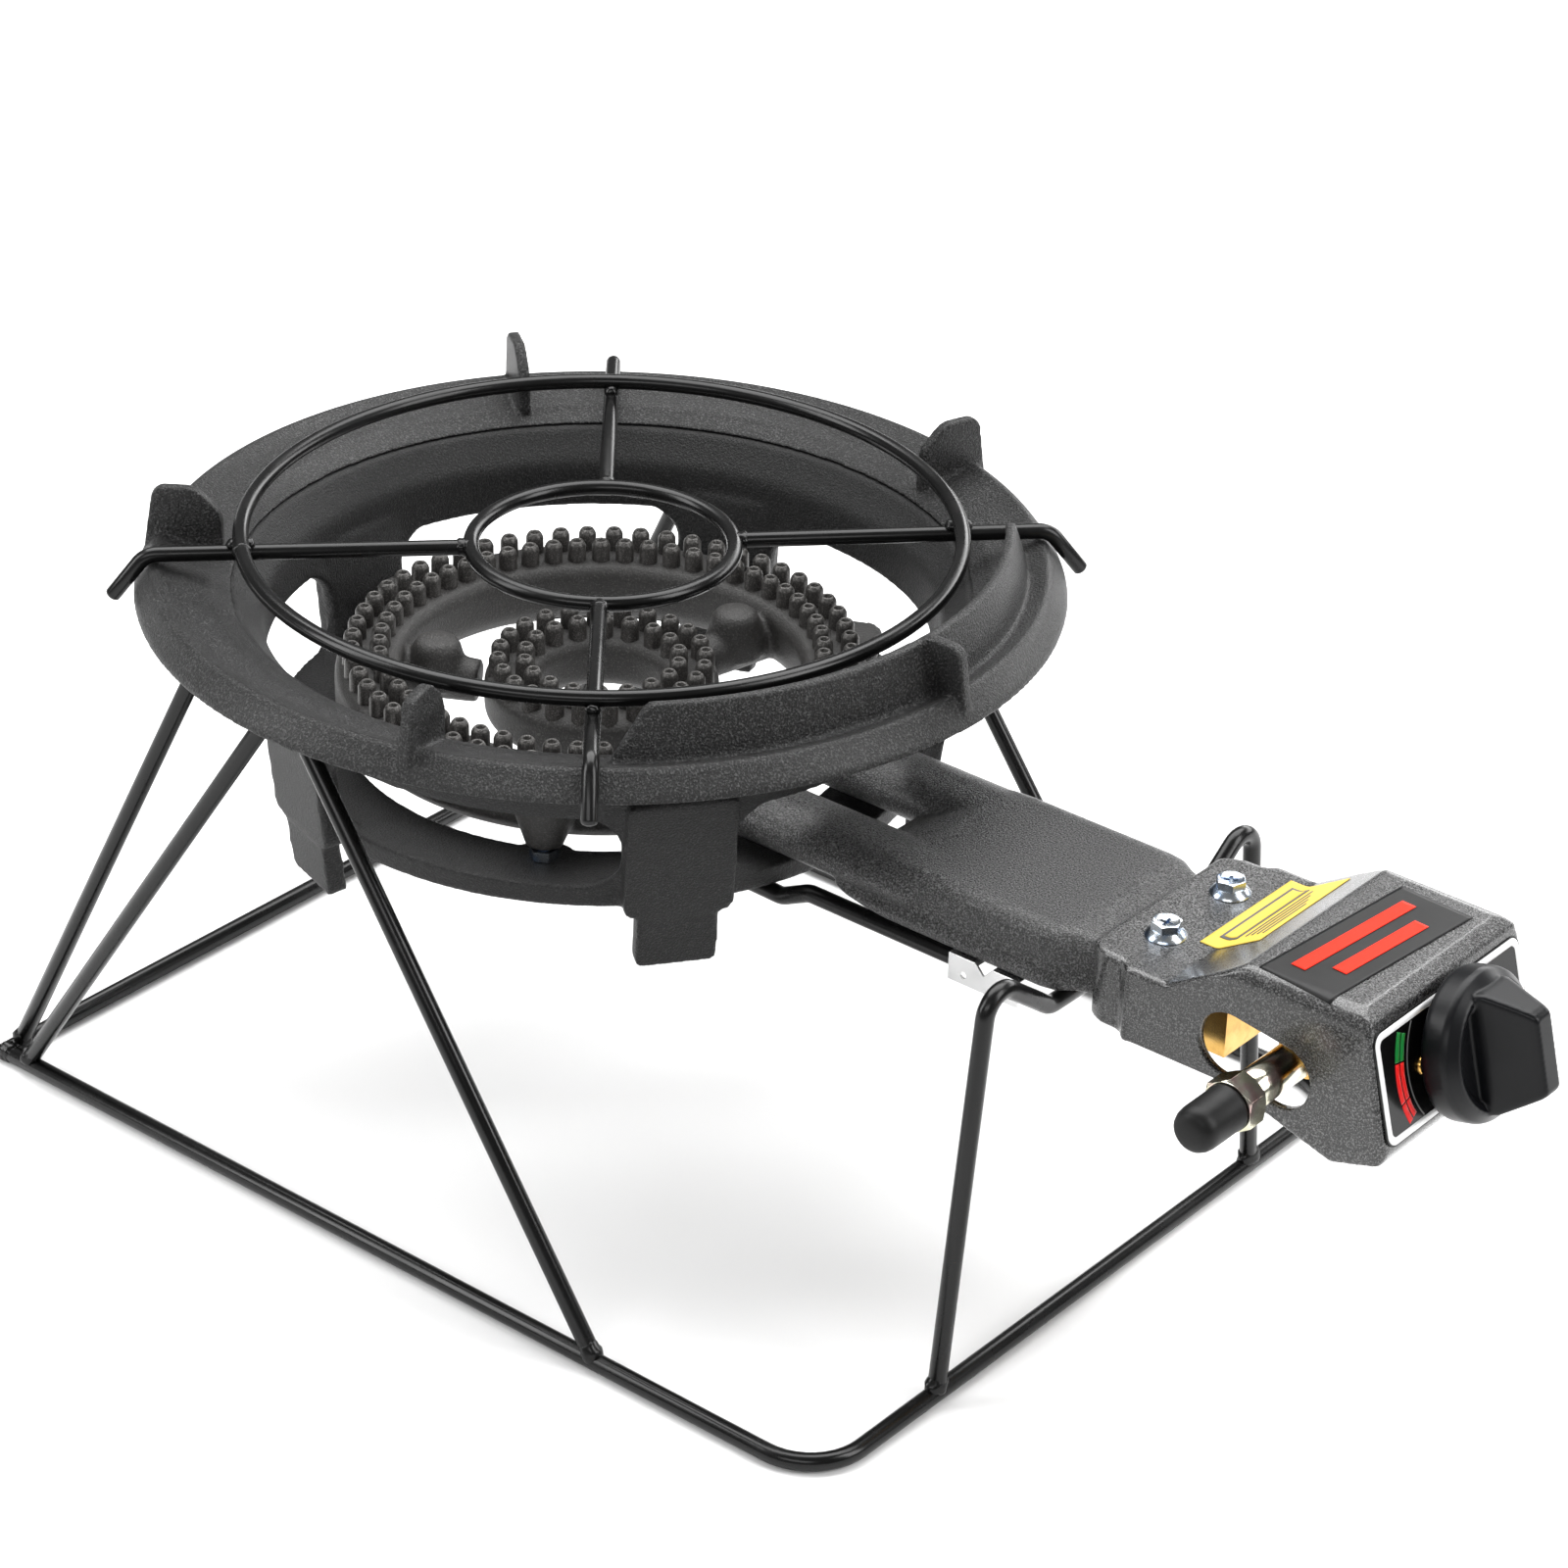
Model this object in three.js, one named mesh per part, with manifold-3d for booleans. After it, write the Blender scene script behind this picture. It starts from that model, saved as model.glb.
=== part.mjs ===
// Gas burner on a bent-wire stand, for heating a large pot or kettle.
// Units are millimetres, +Z is up and the floor is Z = 0. The handle with its valve points along +X.
// Shapes are drawn with the burner's axis on the Z axis, then moved back by originX, so that the
// finished object's origin is the centre of its box on the floor.
import * as THREE from 'three';
import { mergeVertices } from 'three/addons/utils/BufferGeometryUtils.js';
import Module from 'manifold-3d';

const wasm = await Module();
wasm.setup();

// ---------------------------------------------------------------- driving dimensions
const clearance = 0.3;
const originX = 126.5;

const standWire = 3.5; // wire radius of the stand
const baseRear = -171;
const baseFront = 252;
const baseSide = 168;
const baseBend = 24;
const topRingRadius = 164;
const topRingHeight = 211.5;
const cradleFoot = 100; // half distance between the cradle's feet
const cradleHump = { y: 81, z: 170 };
const cradleDip = { y: 44, z: 143.2 };

const grateWire = 3.1; // wire radius of the pot grate
const grateLargeRadius = 138.5;
const grateSmallRadius = 50.8;
const grateBarHeight = 227;
const grateBarAngles = { front: -50, right: 46.5, back: 130, left: -134.5 };

const brimRadius = 180;
const brimEdgeHeight = 212.3;
const crestRadius = 172;
const crestHeight = 223.6;
const finCount = 5;
const finThickness = 4.6;
const shieldFrom = -47.5; // angles of the windshield's base, degrees
const shieldTo = 44;

const bandTop = 212;
const bandBottom = 182;
const lowerRingTop = 149;
const lowerRingBottom = 140;
const lowerRingOuter = 128;
const lowerRingInner = 100;
const legWidth = 42;
const footWidth = 31;
const footBottom = 114.5;
const lugRadius = 108; // circle of the three burner lugs
const lugAngles = [-60, 60, 180];

const burnerTop = 178;
const nozzleHeight = 8;
const outerBurner = { outer: 104, inner: 78, bottom: 153 };
const innerBurner = { outer: 46, inner: 24, bottom: 150, top: 172 };

const tubeOffset = 26; // mixing tubes lie this far either side of the handle plane
const tubeHeight = 160.3;
const handleTop = 170;
const handleBottom = 147;
const handleHalfWidth = 42;
const neckHalfWidth = 38;
const bodyStart = 158;
const bodyEnd = 252;
const waistHalfWidth = 40; // the body narrows in two steps before the cover
const neckStart = 259;
const handleEnd = 297;
const boltX = 283.6;
const boltY = 20;

const wall = 3.5; // housing wall
const faceTilt = 15; // the end face leans back by this angle, degrees
const face = { x: 390.75, z: 166.5 };
const inlet = { x: 350, z: 158 };

// ---------------------------------------------------------------- finishes
const finish = (color, roughness, metalness) =>
  new THREE.MeshStandardMaterial({ color, roughness, metalness });
const blackWire = () => finish(0x0c0c0d, 0.35, 0.2);
const grainyIron = () => finish(0x232325, 0.7, 0.35);
const smoothIron = () => finish(0x1d1d1f, 0.6, 0.35);
const hammerPaint = () => finish(0x3a3b3e, 0.45, 0.4);
const zinc = () => finish(0xb4bcc4, 0.3, 0.95);
const yellowZinc = () => finish(0xb9ae7c, 0.35, 0.9);
const brass = () => finish(0xb08a3c, 0.35, 0.95);
const blackPlastic = () => finish(0x0e0f11, 0.4, 0.0);
const blackRubber = () => finish(0x101012, 0.7, 0.0);

// ---------------------------------------------------------------- solids
const radians = THREE.MathUtils.degToRad;
const V = (x, y, z) => new THREE.Vector3(x, y, z);

function toSolid(geometry) {
  const bare = geometry.clone();
  for (const name of Object.keys(bare.attributes)) {
    if (name !== 'position') bare.deleteAttribute(name);
  }
  const merged = mergeVertices(bare, 1e-4);
  const build = (triangles) =>
    new wasm.Manifold(
      new wasm.Mesh({ numProp: 3, vertProperties: merged.attributes.position.array, triVerts: triangles })
    );
  const triangles = Uint32Array.from(merged.index.array);
  const solid = build(triangles);
  if (solid.volume() > 0) return solid;
  for (let i = 0; i < triangles.length; i += 3) {
    const first = triangles[i];
    triangles[i] = triangles[i + 1];
    triangles[i + 1] = first;
  }
  return build(triangles);
}

function toGeometry(solid) {
  const mesh = solid.getMesh();
  const geometry = new THREE.BufferGeometry();
  const points = new Float32Array((mesh.vertProperties.length / mesh.numProp) * 3);
  for (let i = 0, j = 0; i < mesh.vertProperties.length; i += mesh.numProp, j += 3) {
    points.set(mesh.vertProperties.subarray(i, i + 3), j);
  }
  geometry.setAttribute('position', new THREE.BufferAttribute(points, 3));
  geometry.setIndex(new THREE.BufferAttribute(Uint32Array.from(mesh.triVerts), 1));
  geometry.computeVertexNormals();
  return geometry;
}

// A box given by its two corners.
function box(from, to) {
  const geometry = new THREE.BoxGeometry(to.x - from.x, to.y - from.y, to.z - from.z);
  geometry.translate((from.x + to.x) / 2, (from.y + to.y) / 2, (from.z + to.z) / 2);
  return toSolid(geometry);
}

// A round bar, cone or hexagonal prism between two points.
function rod(from, to, radiusFrom, radiusTo = radiusFrom, sides = 24) {
  const along = to.clone().sub(from);
  const geometry = new THREE.CylinderGeometry(radiusTo, radiusFrom, along.length(), sides);
  geometry.translate(0, along.length() / 2, 0);
  geometry.applyQuaternion(new THREE.Quaternion().setFromUnitVectors(V(0, 1, 0), along.normalize()));
  geometry.translate(from.x, from.y, from.z);
  return toSolid(geometry);
}

// A body turned about the Z axis from a closed outline of [radius, height] points.
function turned(outline, segments = 60) {
  const points = outline.map(([radius, height]) => new THREE.Vector2(radius, height));
  points.push(points[0].clone());
  const geometry = new THREE.LatheGeometry(points, segments);
  geometry.rotateX(Math.PI / 2);
  return toSolid(geometry);
}

// A plate cut to a shape in the XY plane, between two heights.
function plate(shape, from, to, curveSegments = 3) {
  const geometry = new THREE.ExtrudeGeometry(shape, {
    depth: to - from,
    bevelEnabled: false,
    curveSegments,
  });
  geometry.translate(0, 0, from);
  return toSolid(geometry);
}

function polygon(points) {
  return new THREE.Shape(points.map(([x, y]) => new THREE.Vector2(x, y)));
}

// A rectangle centred at (x, y) with its own radius at the lower and the upper corners.
function roundedRectangle(width, height, lower, upper = lower, x = 0, y = 0) {
  const left = x - width / 2;
  const right = x + width / 2;
  const bottom = y - height / 2;
  const top = y + height / 2;
  const shape = new THREE.Shape();
  shape.moveTo(left + lower, bottom);
  shape.lineTo(right - lower, bottom);
  shape.absarc(right - lower, bottom + lower, lower, -Math.PI / 2, 0, false);
  shape.lineTo(right, top - upper);
  shape.absarc(right - upper, top - upper, upper, 0, Math.PI / 2, false);
  shape.lineTo(left + upper, top);
  shape.absarc(left + upper, top - upper, upper, Math.PI / 2, Math.PI, false);
  shape.lineTo(left, bottom + lower);
  shape.absarc(left + lower, bottom + lower, lower, Math.PI, Math.PI * 1.5, false);
  return shape;
}

// A plate whose shape is drawn in (side, up) and whose thickness runs outward along +X.
function radialPlate(shape, fromRadius, toRadius, curveSegments = 3) {
  const geometry = new THREE.ExtrudeGeometry(shape, {
    depth: toRadius - fromRadius,
    bevelEnabled: false,
    curveSegments,
  });
  geometry.rotateX(Math.PI / 2);
  geometry.rotateZ(Math.PI / 2);
  geometry.translate(fromRadius, 0, 0);
  return toSolid(geometry);
}

// A plate drawn in (radius, height) and centred on the XZ plane.
function sidePlate(shape, thickness, curveSegments = 3) {
  const geometry = new THREE.ExtrudeGeometry(shape, { depth: thickness, bevelEnabled: false, curveSegments });
  geometry.rotateX(Math.PI / 2);
  geometry.translate(0, thickness / 2, 0);
  return toSolid(geometry);
}

const about = (solid, degrees) => solid.rotate([0, 0, degrees]);
const union = (solids) => solids.reduce((whole, solid) => whole.add(solid));

// A wire cut back from what it is welded to leaves small ends behind. Only its main length is kept.
const mainPiece = (solid) =>
  solid.decompose().reduce((largest, piece) => (piece.volume() > largest.volume() ? piece : largest));

// A wire bent at its corners. It is sampled at the ends of its straights and round each bend.
class BentWire extends THREE.Curve {
  constructor(corners, bendRadius, arcSteps = 5) {
    super();
    this.stations = [];
    const last = corners.length - 1;
    for (let i = 0; i <= last; i += 1) {
      if (i === 0 || i === last) {
        const heading = corners[Math.min(i + 1, last)].clone().sub(corners[Math.max(i - 1, 0)]);
        this.stations.push({ point: corners[i].clone(), tangent: heading.normalize() });
        continue;
      }
      const before = corners[i].clone().sub(corners[i - 1]).normalize();
      const after = corners[i + 1].clone().sub(corners[i]).normalize();
      const turn = before.angleTo(after);
      const setback = bendRadius * Math.tan(turn / 2);
      const start = corners[i].clone().addScaledVector(before, -setback);
      const inward = after.clone().addScaledVector(before, -after.dot(before)).normalize();
      const centre = start.clone().addScaledVector(inward, bendRadius);
      for (let k = 0; k <= arcSteps; k += 1) {
        const angle = (turn * k) / arcSteps;
        const point = centre
          .clone()
          .addScaledVector(inward, -bendRadius * Math.cos(angle))
          .addScaledVector(before, bendRadius * Math.sin(angle));
        const tangent = before
          .clone()
          .multiplyScalar(Math.cos(angle))
          .addScaledVector(inward, Math.sin(angle));
        this.stations.push({ point, tangent: tangent.normalize() });
      }
    }
  }

  get steps() {
    return this.stations.length - 1;
  }

  station(u) {
    return this.stations[Math.round(u * this.steps)];
  }

  getPointAt(u) {
    return this.station(u).point.clone();
  }

  getTangentAt(u) {
    return this.station(u).tangent.clone();
  }
}

// The flats of a many-sided wire lie at its true radius, so its corners stand a little outside.
const cornerRadius = (radius, sides) => radius / Math.cos(Math.PI / sides);

function wire(corners, radius, bendRadius = 0, sides = 10) {
  const path = new BentWire(corners, bendRadius);
  const section = new THREE.Shape();
  const reach = cornerRadius(radius, sides);
  for (let i = 0; i < sides; i += 1) {
    const angle = (2 * Math.PI * (i + 0.5)) / sides;
    const point = [reach * Math.cos(angle), reach * Math.sin(angle)];
    if (i === 0) section.moveTo(...point);
    else section.lineTo(...point);
  }
  section.closePath();
  const geometry = new THREE.ExtrudeGeometry(section, {
    steps: path.steps,
    extrudePath: path,
    bevelEnabled: false,
  });
  return toSolid(geometry);
}

function wireRing(ringRadius, height, radius, segments = 48, sides = 10) {
  const geometry = new THREE.TorusGeometry(ringRadius, cornerRadius(radius, sides), sides, segments);
  geometry.translate(0, 0, height);
  return toSolid(geometry);
}

const onCircle = (radius, degrees, z) =>
  V(radius * Math.cos(radians(degrees)), radius * Math.sin(radians(degrees)), z);

// ---------------------------------------------------------------- assembly
const burnerStand = new THREE.Group();
burnerStand.name = 'gas_burner_on_wire_stand';

const simplifyTo = 0.01; // edges left by cuts that are shorter than this are closed up
function place(name, solid, material, group = burnerStand) {
  const geometry = toGeometry(solid.simplify(simplifyTo));
  geometry.translate(-originX, 0, 0);
  const mesh = new THREE.Mesh(geometry, material);
  mesh.name = name;
  group.add(mesh);
  return mesh;
}

// ---------------------------------------------------------------- wire stand
const inflatedRing = wireRing(topRingRadius, topRingHeight, standWire + clearance);
const baseCorners = [
  V(baseRear + standWire + clearance, -baseSide, standWire),
  V(baseFront, -baseSide, standWire),
  V(baseFront, baseSide, standWire),
  V(baseRear + standWire + clearance, baseSide, standWire),
];
const rearCorners = [V(baseRear, -baseSide - standWire, standWire), V(baseRear, baseSide + standWire, standWire)];
const inflatedHoop = wire(baseCorners, standWire + clearance, baseBend);
const inflatedRear = wire(rearCorners, standWire + clearance);

place('base_hoop', wire(baseCorners, standWire, baseBend), blackWire());
place('base_rear_rail', wire(rearCorners, standWire), blackWire());
place('stand_top_ring', wireRing(topRingRadius, topRingHeight, standWire), blackWire());

for (const [side, sign] of [['right', -1], ['left', 1]]) {
  const struts = {
    corner_strut: [V(baseRear, sign * 160, standWire), onCircle(topRingRadius, sign * 114, topRingHeight)],
    rear_strut: [V(-158, sign * baseSide, standWire), onCircle(topRingRadius, sign * 96, topRingHeight)],
    front_strut: [V(147, sign * baseSide, standWire), onCircle(topRingRadius, sign * 91, topRingHeight)],
  };
  for (const [name, ends] of Object.entries(struts)) {
    const strut = wire(ends, standWire).subtract(inflatedRing).subtract(inflatedHoop).subtract(inflatedRear);
    place(`${name}_${side}`, mainPiece(strut), blackWire());
  }
}

const cradle = wire(
  [
    V(baseFront, -cradleFoot, standWire),
    V(baseFront, -cradleHump.y, cradleHump.z),
    V(baseFront, -cradleDip.y, cradleDip.z),
    V(baseFront, cradleDip.y, cradleDip.z),
    V(baseFront, cradleHump.y, cradleHump.z),
    V(baseFront, cradleFoot, standWire),
  ],
  standWire,
  9
).subtract(inflatedHoop);
place('handle_cradle', mainPiece(cradle), blackWire());

// ---------------------------------------------------------------- pot ring
// The cast brim has a hollow underside, which the stand's top ring sits in.
const cavityTop = topRingHeight + standWire + clearance;
const brim = turned([
  [brimRadius, brimEdgeHeight],
  [brimRadius - 1, brimEdgeHeight + 3],
  [crestRadius + 1, crestHeight - 0.6],
  [crestRadius - 1, crestHeight],
  [165, 221],
  [151, 217],
  [149.5, 216],
  [141.5, brimEdgeHeight],
  [156, brimEdgeHeight],
  [158, cavityTop],
  [171, cavityTop],
  [177, brimEdgeHeight],
]);

const finOutline = [
  [178.2, 214.2],
  [174.6, 240],
  [171.5, 243],
  [158, 243],
  [147.5, 233],
  [147, 216],
  [171, 216],
];
const fin = sidePlate(polygon(finOutline), finThickness);
const fins = Array.from({ length: finCount }, (_, i) => about(fin, (360 / finCount) * i));

// The windshield is a thin conical wall whose ends slope down to the brim.
const shieldWall = turned([[164.5, 219], [158, 241], [154, 241], [160, 217.5]], 72);
const shieldSpan = shieldTo - shieldFrom;
const shieldSector = () => {
  const shape = new THREE.Shape();
  shape.moveTo(0, 0);
  const steps = 8;
  for (let i = 0; i <= steps; i += 1) {
    const angle = radians(shieldFrom + (shieldSpan * i) / steps);
    shape.lineTo(220 * Math.cos(angle), 220 * Math.sin(angle));
  }
  shape.closePath();
  return plate(shape, 200, 260);
};
const shieldEndCut = (degrees, direction) => {
  const slope = polygon([[0, 224], [direction * 13, 243.5], [direction * 13, 260], [-direction * 30, 260], [-direction * 30, 224]]);
  return about(radialPlate(slope, 130, 190), degrees);
};
const shield = shieldWall
  .intersect(shieldSector())
  .subtract(shieldEndCut(shieldFrom, 1))
  .subtract(shieldEndCut(shieldTo, -1));
place('pot_ring', union([brim, shield, ...fins]), grainyIron());

// ---------------------------------------------------------------- frame casting
const band = turned([
  [154, bandTop],
  [154, 208.6],
  [142, 208.6],
  [138, 203],
  [135, bandBottom],
  [130.5, bandBottom],
  [131, 200],
  [141, bandTop],
]);
const skirt = turned([[135, 183], [130.5, 183], [123.6, 147], [128.2, 147]]);
const windowShape = roundedRectangle(119, 32.2, 15.9, 5, 0, 165.6);
const windowCut = radialPlate(windowShape, 90, 160);
const skirtWindows = union(Array.from({ length: finCount }, (_, i) => about(windowCut, 72 * i)));
const lowerRing = turned([
  [lowerRingOuter, lowerRingBottom],
  [lowerRingOuter + 0.4, lowerRingTop - 0.5],
  [lowerRingOuter - 0.6, lowerRingTop],
  [lowerRingInner, lowerRingTop],
  [lowerRingInner, 143.5],
  [124, 143.5],
  [124, lowerRingBottom],
]);
const legTilt = 7;
const wideLeg = radialPlate(roundedRectangle(legWidth, 50.5, 6, 1, 0, 163.25), 126.5, 135.5, 2);
const foot = radialPlate(roundedRectangle(footWidth, 40, 3, 1, 0, footBottom + 20), 127.5, 134.6, 1);
const leg = union([wideLeg, foot])
  .translate([-132, 0, -165])
  .rotate([0, legTilt, 0])
  .translate([132, 0, 165]);
const legs = Array.from({ length: finCount }, (_, i) => about(leg, 36 + 72 * i));
const lobes = lugAngles.map((angle) =>
  rod(onCircle(lugRadius, angle, 143.5), onCircle(lugRadius, angle, lowerRingTop), 13, 13, 20)
);
const lugHoles = union(
  lugAngles.map((angle) => rod(onCircle(lugRadius, angle, 130), onCircle(lugRadius, angle, 155), 3.2, 3.2, 12))
);
const ringScrewAngles = Array.from({ length: finCount }, (_, i) => 36 + 72 * i);
const ringScrewRadius = 148;
const ringScrewHoles = union(
  ringScrewAngles.map((angle) =>
    rod(onCircle(ringScrewRadius, angle, 200), onCircle(ringScrewRadius, angle, 215), 2.8, 2.8, 12)
  )
);
const skirtAboveRing = skirt.subtract(skirtWindows);
const frame = union([band, skirtAboveRing, lowerRing, ...legs, ...lobes])
  .subtract(lugHoles)
  .subtract(ringScrewHoles);
place('frame_casting', frame, smoothIron());

ringScrewAngles.forEach((angle, i) => {
  const at = (z) => onCircle(ringScrewRadius, angle, z);
  const screw = union([
    rod(at(205.2), at(208.3), 4.6, 4.6, 6),
    rod(at(207), at(bandTop), 2.5, 2.5, 12),
  ]);
  place(`ring_screw_${i + 1}`, screw, zinc());
});

// ---------------------------------------------------------------- burner castings
const outerBody = turned([
  [98, outerBurner.bottom],
  [outerBurner.outer, 160],
  [outerBurner.outer, 175],
  [101.5, burnerTop],
  [101.5, burnerTop + nozzleHeight],
  [82, burnerTop + nozzleHeight],
  [82, burnerTop],
  [outerBurner.inner, 174],
  [outerBurner.inner, 160],
  [83, outerBurner.bottom],
]);
const nutTop = 153.3;
const belowLugs = box(V(-130, -130, 140), V(130, 130, nutTop + clearance));
const lugs = lugAngles.map((angle) =>
  rod(onCircle(lugRadius, angle, 150), onCircle(lugRadius - 4, angle, 169), 5.6, 13).subtract(belowLugs)
);
const lugBores = union(
  lugAngles.map((angle) => rod(onCircle(lugRadius, angle, 150), onCircle(lugRadius, angle, 163.5), 2.9, 2.9, 16))
);
// Two domed arms carry the outer casting inwards towards the inner ring.
const arms = [78, -150].map((angle) => {
  const arm = rod(V(50, 0, 162), V(84, 0, 164), 8.5, 10, 16);
  const cap = rod(V(68, 0, 160), V(68, 0, 178), 12, 8.2, 20);
  return about(arm.add(cap), angle);
});
// The casting is hollow: gas fills a ring-shaped chamber and leaves through two rings of ports.
const outerChamber = turned([
  [97, 157.5],
  [100, 161],
  [100, 172],
  [97.5, 174.5],
  [85.5, 174.5],
  [82, 171.5],
  [82, 161],
  [85, 157.5],
]);
function ports(rings, low, high) {
  const holes = [];
  for (const { radius, count, start, bore } of rings) {
    for (let i = 0; i < count; i++) {
      const angle = start + (360 / count) * i;
      holes.push(rod(onCircle(radius, angle, low), onCircle(radius, angle, high), bore, bore, 6));
    }
  }
  return union(holes);
}
const outerPorts = ports(
  [
    { radius: 97.2, count: 28, start: 0, bore: 1.6 },
    { radius: 86.6, count: 28, start: 360 / 56, bore: 1.6 },
  ],
  170,
  190
);
const innerKeepOut = rod(V(0, 0, 100), V(0, 0, 200), innerBurner.outer + 1, innerBurner.outer + 1, 60);
const outerCasting = union([outerBody, ...lugs, ...arms])
  .subtract(lugBores)
  .subtract(innerKeepOut)
  .subtract(outerChamber)
  .subtract(outerPorts);
place('outer_burner', outerCasting, smoothIron());

const innerBody = turned(
  [
    [innerBurner.outer - 6, innerBurner.bottom],
    [innerBurner.outer, 156],
    [innerBurner.outer, innerBurner.top - 3],
    [innerBurner.outer - 2, innerBurner.top],
    [innerBurner.outer - 2, innerBurner.top + nozzleHeight],
    [27, innerBurner.top + nozzleHeight],
    [27, innerBurner.top],
    [innerBurner.inner, innerBurner.top - 3],
    [innerBurner.inner, 156],
    [30, innerBurner.bottom],
  ],
  40
);
const feedDuct = rod(V(26, 19, 159), V(76, 24, 159), 9, 9, 16).intersect(
  rod(V(0, 0, 100), V(0, 0, 200), outerBurner.inner - 0.8, outerBurner.inner - 0.8, 60)
);
const ductBeyondBore = feedDuct.subtract(rod(V(0, 0, 100), V(0, 0, 200), 34, 34, 40));
const innerChamber = turned(
  [
    [38, 154],
    [42, 157.5],
    [42, 167],
    [40.5, 168.5],
    [29.5, 168.5],
    [28, 167],
    [28, 157.5],
    [31, 154],
  ],
  40
);
const innerPorts = ports(
  [
    { radius: 40.6, count: 12, start: 0, bore: 1.5 },
    { radius: 30.4, count: 9, start: 10, bore: 1.5 },
  ],
  165,
  190
);
const feedBore = rod(V(36, 20, 159), V(90, 25.4, 159), 6, 6, 16);
const innerCasting = innerBody.add(ductBeyondBore).subtract(innerChamber).subtract(innerPorts).subtract(feedBore);
place('inner_burner', innerCasting, smoothIron());

lugAngles.forEach((angle, i) => {
  const at = (z) => onCircle(lugRadius, angle, z);
  const bolt = union([rod(at(139.4), at(143.2), 5.6, 5.6, 6), rod(at(142), at(163), 2.5, 2.5, 14)]);
  place(`burner_bolt_${i + 1}`, bolt, zinc());
  const nut = rod(at(lowerRingTop + clearance), at(nutTop), 5.6, 5.6, 6).subtract(
    rod(at(140), at(160), 2.9, 2.9, 14)
  );
  place(`burner_nut_${i + 1}`, nut, zinc());
});

// ---------------------------------------------------------------- handle casting and pilot tube
const pilotRadius = 3.5;
const pilotCorners = [
  V(60, -36, 168),
  V(60, -36, 135.5),
  V(124, -38, 135.5),
  V(137, -38, 141.8),
  V(205.5, -38, 141.8),
];
const pilot = wire(pilotCorners, pilotRadius, 9, 10);
place('pilot_tube', pilot, blackWire());

function mixingTube(sign) {
  const geometry = new THREE.CylinderGeometry(1, 1, 1, 24);
  geometry.rotateZ(Math.PI / 2);
  geometry.scale(95, 17, 10);
  geometry.translate(133, sign * tubeOffset, tubeHeight);
  return toSolid(geometry);
}
const handleSection = roundedRectangle(
  handleHalfWidth * 2, handleTop - handleBottom, 7, 8, 0, (handleTop + handleBottom) / 2
);
const neckSection = roundedRectangle(
  neckHalfWidth * 2, handleTop - handleBottom, 4, 3, 0, (handleTop + handleBottom) / 2
);
const waistSection = roundedRectangle(
  waistHalfWidth * 2, handleTop - handleBottom - 2, 6, 5, 0, (handleTop + handleBottom) / 2
);
function tubeBore(sign) {
  const geometry = new THREE.CylinderGeometry(1, 1, 1, 20);
  geometry.rotateZ(Math.PI / 2);
  geometry.scale(220, 13, 6.5);
  geometry.translate(200, sign * tubeOffset, tubeHeight - 0.5);
  return toSolid(geometry);
}
const bores = tubeBore(-1).add(tubeBore(1));
const boltHoles = union([-1, 1].map((sign) => rod(V(boltX, sign * boltY, 166.4), V(boltX, sign * boltY, 180), 2.9, 2.9, 14)));
const outerKeepOut = rod(V(0, 0, 100), V(0, 0, 200), outerBurner.outer + clearance, outerBurner.outer + clearance, 60);
const handle = union([
  mixingTube(-1),
  mixingTube(1),
  radialPlate(handleSection, bodyStart, bodyEnd),
  radialPlate(waistSection, bodyEnd - 1, neckStart),
  radialPlate(neckSection, neckStart - 1, handleEnd),
])
  .subtract(bores)
  .subtract(boltHoles)
  .subtract(outerKeepOut)
  .subtract(wire(pilotCorners, pilotRadius + 0.7, 9, 10));
place('mixing_tube_handle', handle, hammerPaint());

const bracket = union([
  box(V(206, -43.4, 145.6), V(238, -26, 146.7)),
  box(V(206, -43.4, 135.5), V(238, -42.1, 146.7)),
]);
place('pilot_tube_bracket', bracket, zinc());

// ---------------------------------------------------------------- valve housing
// The outside is where a side outline, a plan outline and an end outline all meet.
const neckX = 266;
const sideOutline = (shrink) => polygon([
  [shrink ? neckX - 10 : neckX, shrink ? 100 : 146],
  [shrink ? neckX - 10 : neckX, 174 - shrink],
  [303 - shrink * 0.4, 174.4 - shrink],
  [333 - shrink * 0.4, 192.6 - shrink],
  [378 - shrink * 0.7, 193 - shrink],
  [381.5 - shrink * 0.9, 192.2 - shrink],
  [384.3 - shrink, 190 - shrink * 0.7],
  shrink ? [408.3 - shrink * 1.035, 101] : [396.8, 144],
  shrink ? [370, 100] : [395, 139.5],
  shrink ? [360, 100] : [376, 133.5],
  shrink ? [350, 100] : [332, 146],
]);
const planOutline = (shrink) => {
  const neck = 44.2 - shrink;
  const half = 50.4 - shrink;
  const front = 398 - shrink;
  const corner = 9 - shrink;
  const shape = new THREE.Shape();
  shape.moveTo(neckX - 12, -neck);
  shape.lineTo(284, -neck);
  shape.lineTo(289, -half);
  shape.lineTo(front - corner, -half);
  shape.absarc(front - corner, -half + corner, corner, -Math.PI / 2, 0, false);
  shape.lineTo(front, half - corner);
  shape.absarc(front - corner, half - corner, corner, 0, Math.PI / 2, false);
  shape.lineTo(289, half);
  shape.lineTo(284, neck);
  shape.lineTo(neckX - 12, neck);
  shape.closePath();
  return plate(shape, 90, 220);
};
const endOutline = (shrink) => {
  const low = 50.6 - shrink;
  const high = 47.2 - shrink;
  const top = 193.2 - shrink;
  const shape = new THREE.Shape();
  shape.moveTo(-low, 90);
  shape.lineTo(low, 90);
  shape.lineTo(high, top - 8);
  shape.quadraticCurveTo(high - 0.5, top, high - 8.5, top);
  shape.lineTo(-high + 8.5, top);
  shape.quadraticCurveTo(-high + 0.5, top, -high, top - 8);
  shape.closePath();
  return radialPlate(shape, 230, 420);
};
const housingBody = (shrink) =>
  sidePlate(sideOutline(shrink), 130).intersect(planOutline(shrink)).intersect(endOutline(shrink));

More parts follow.
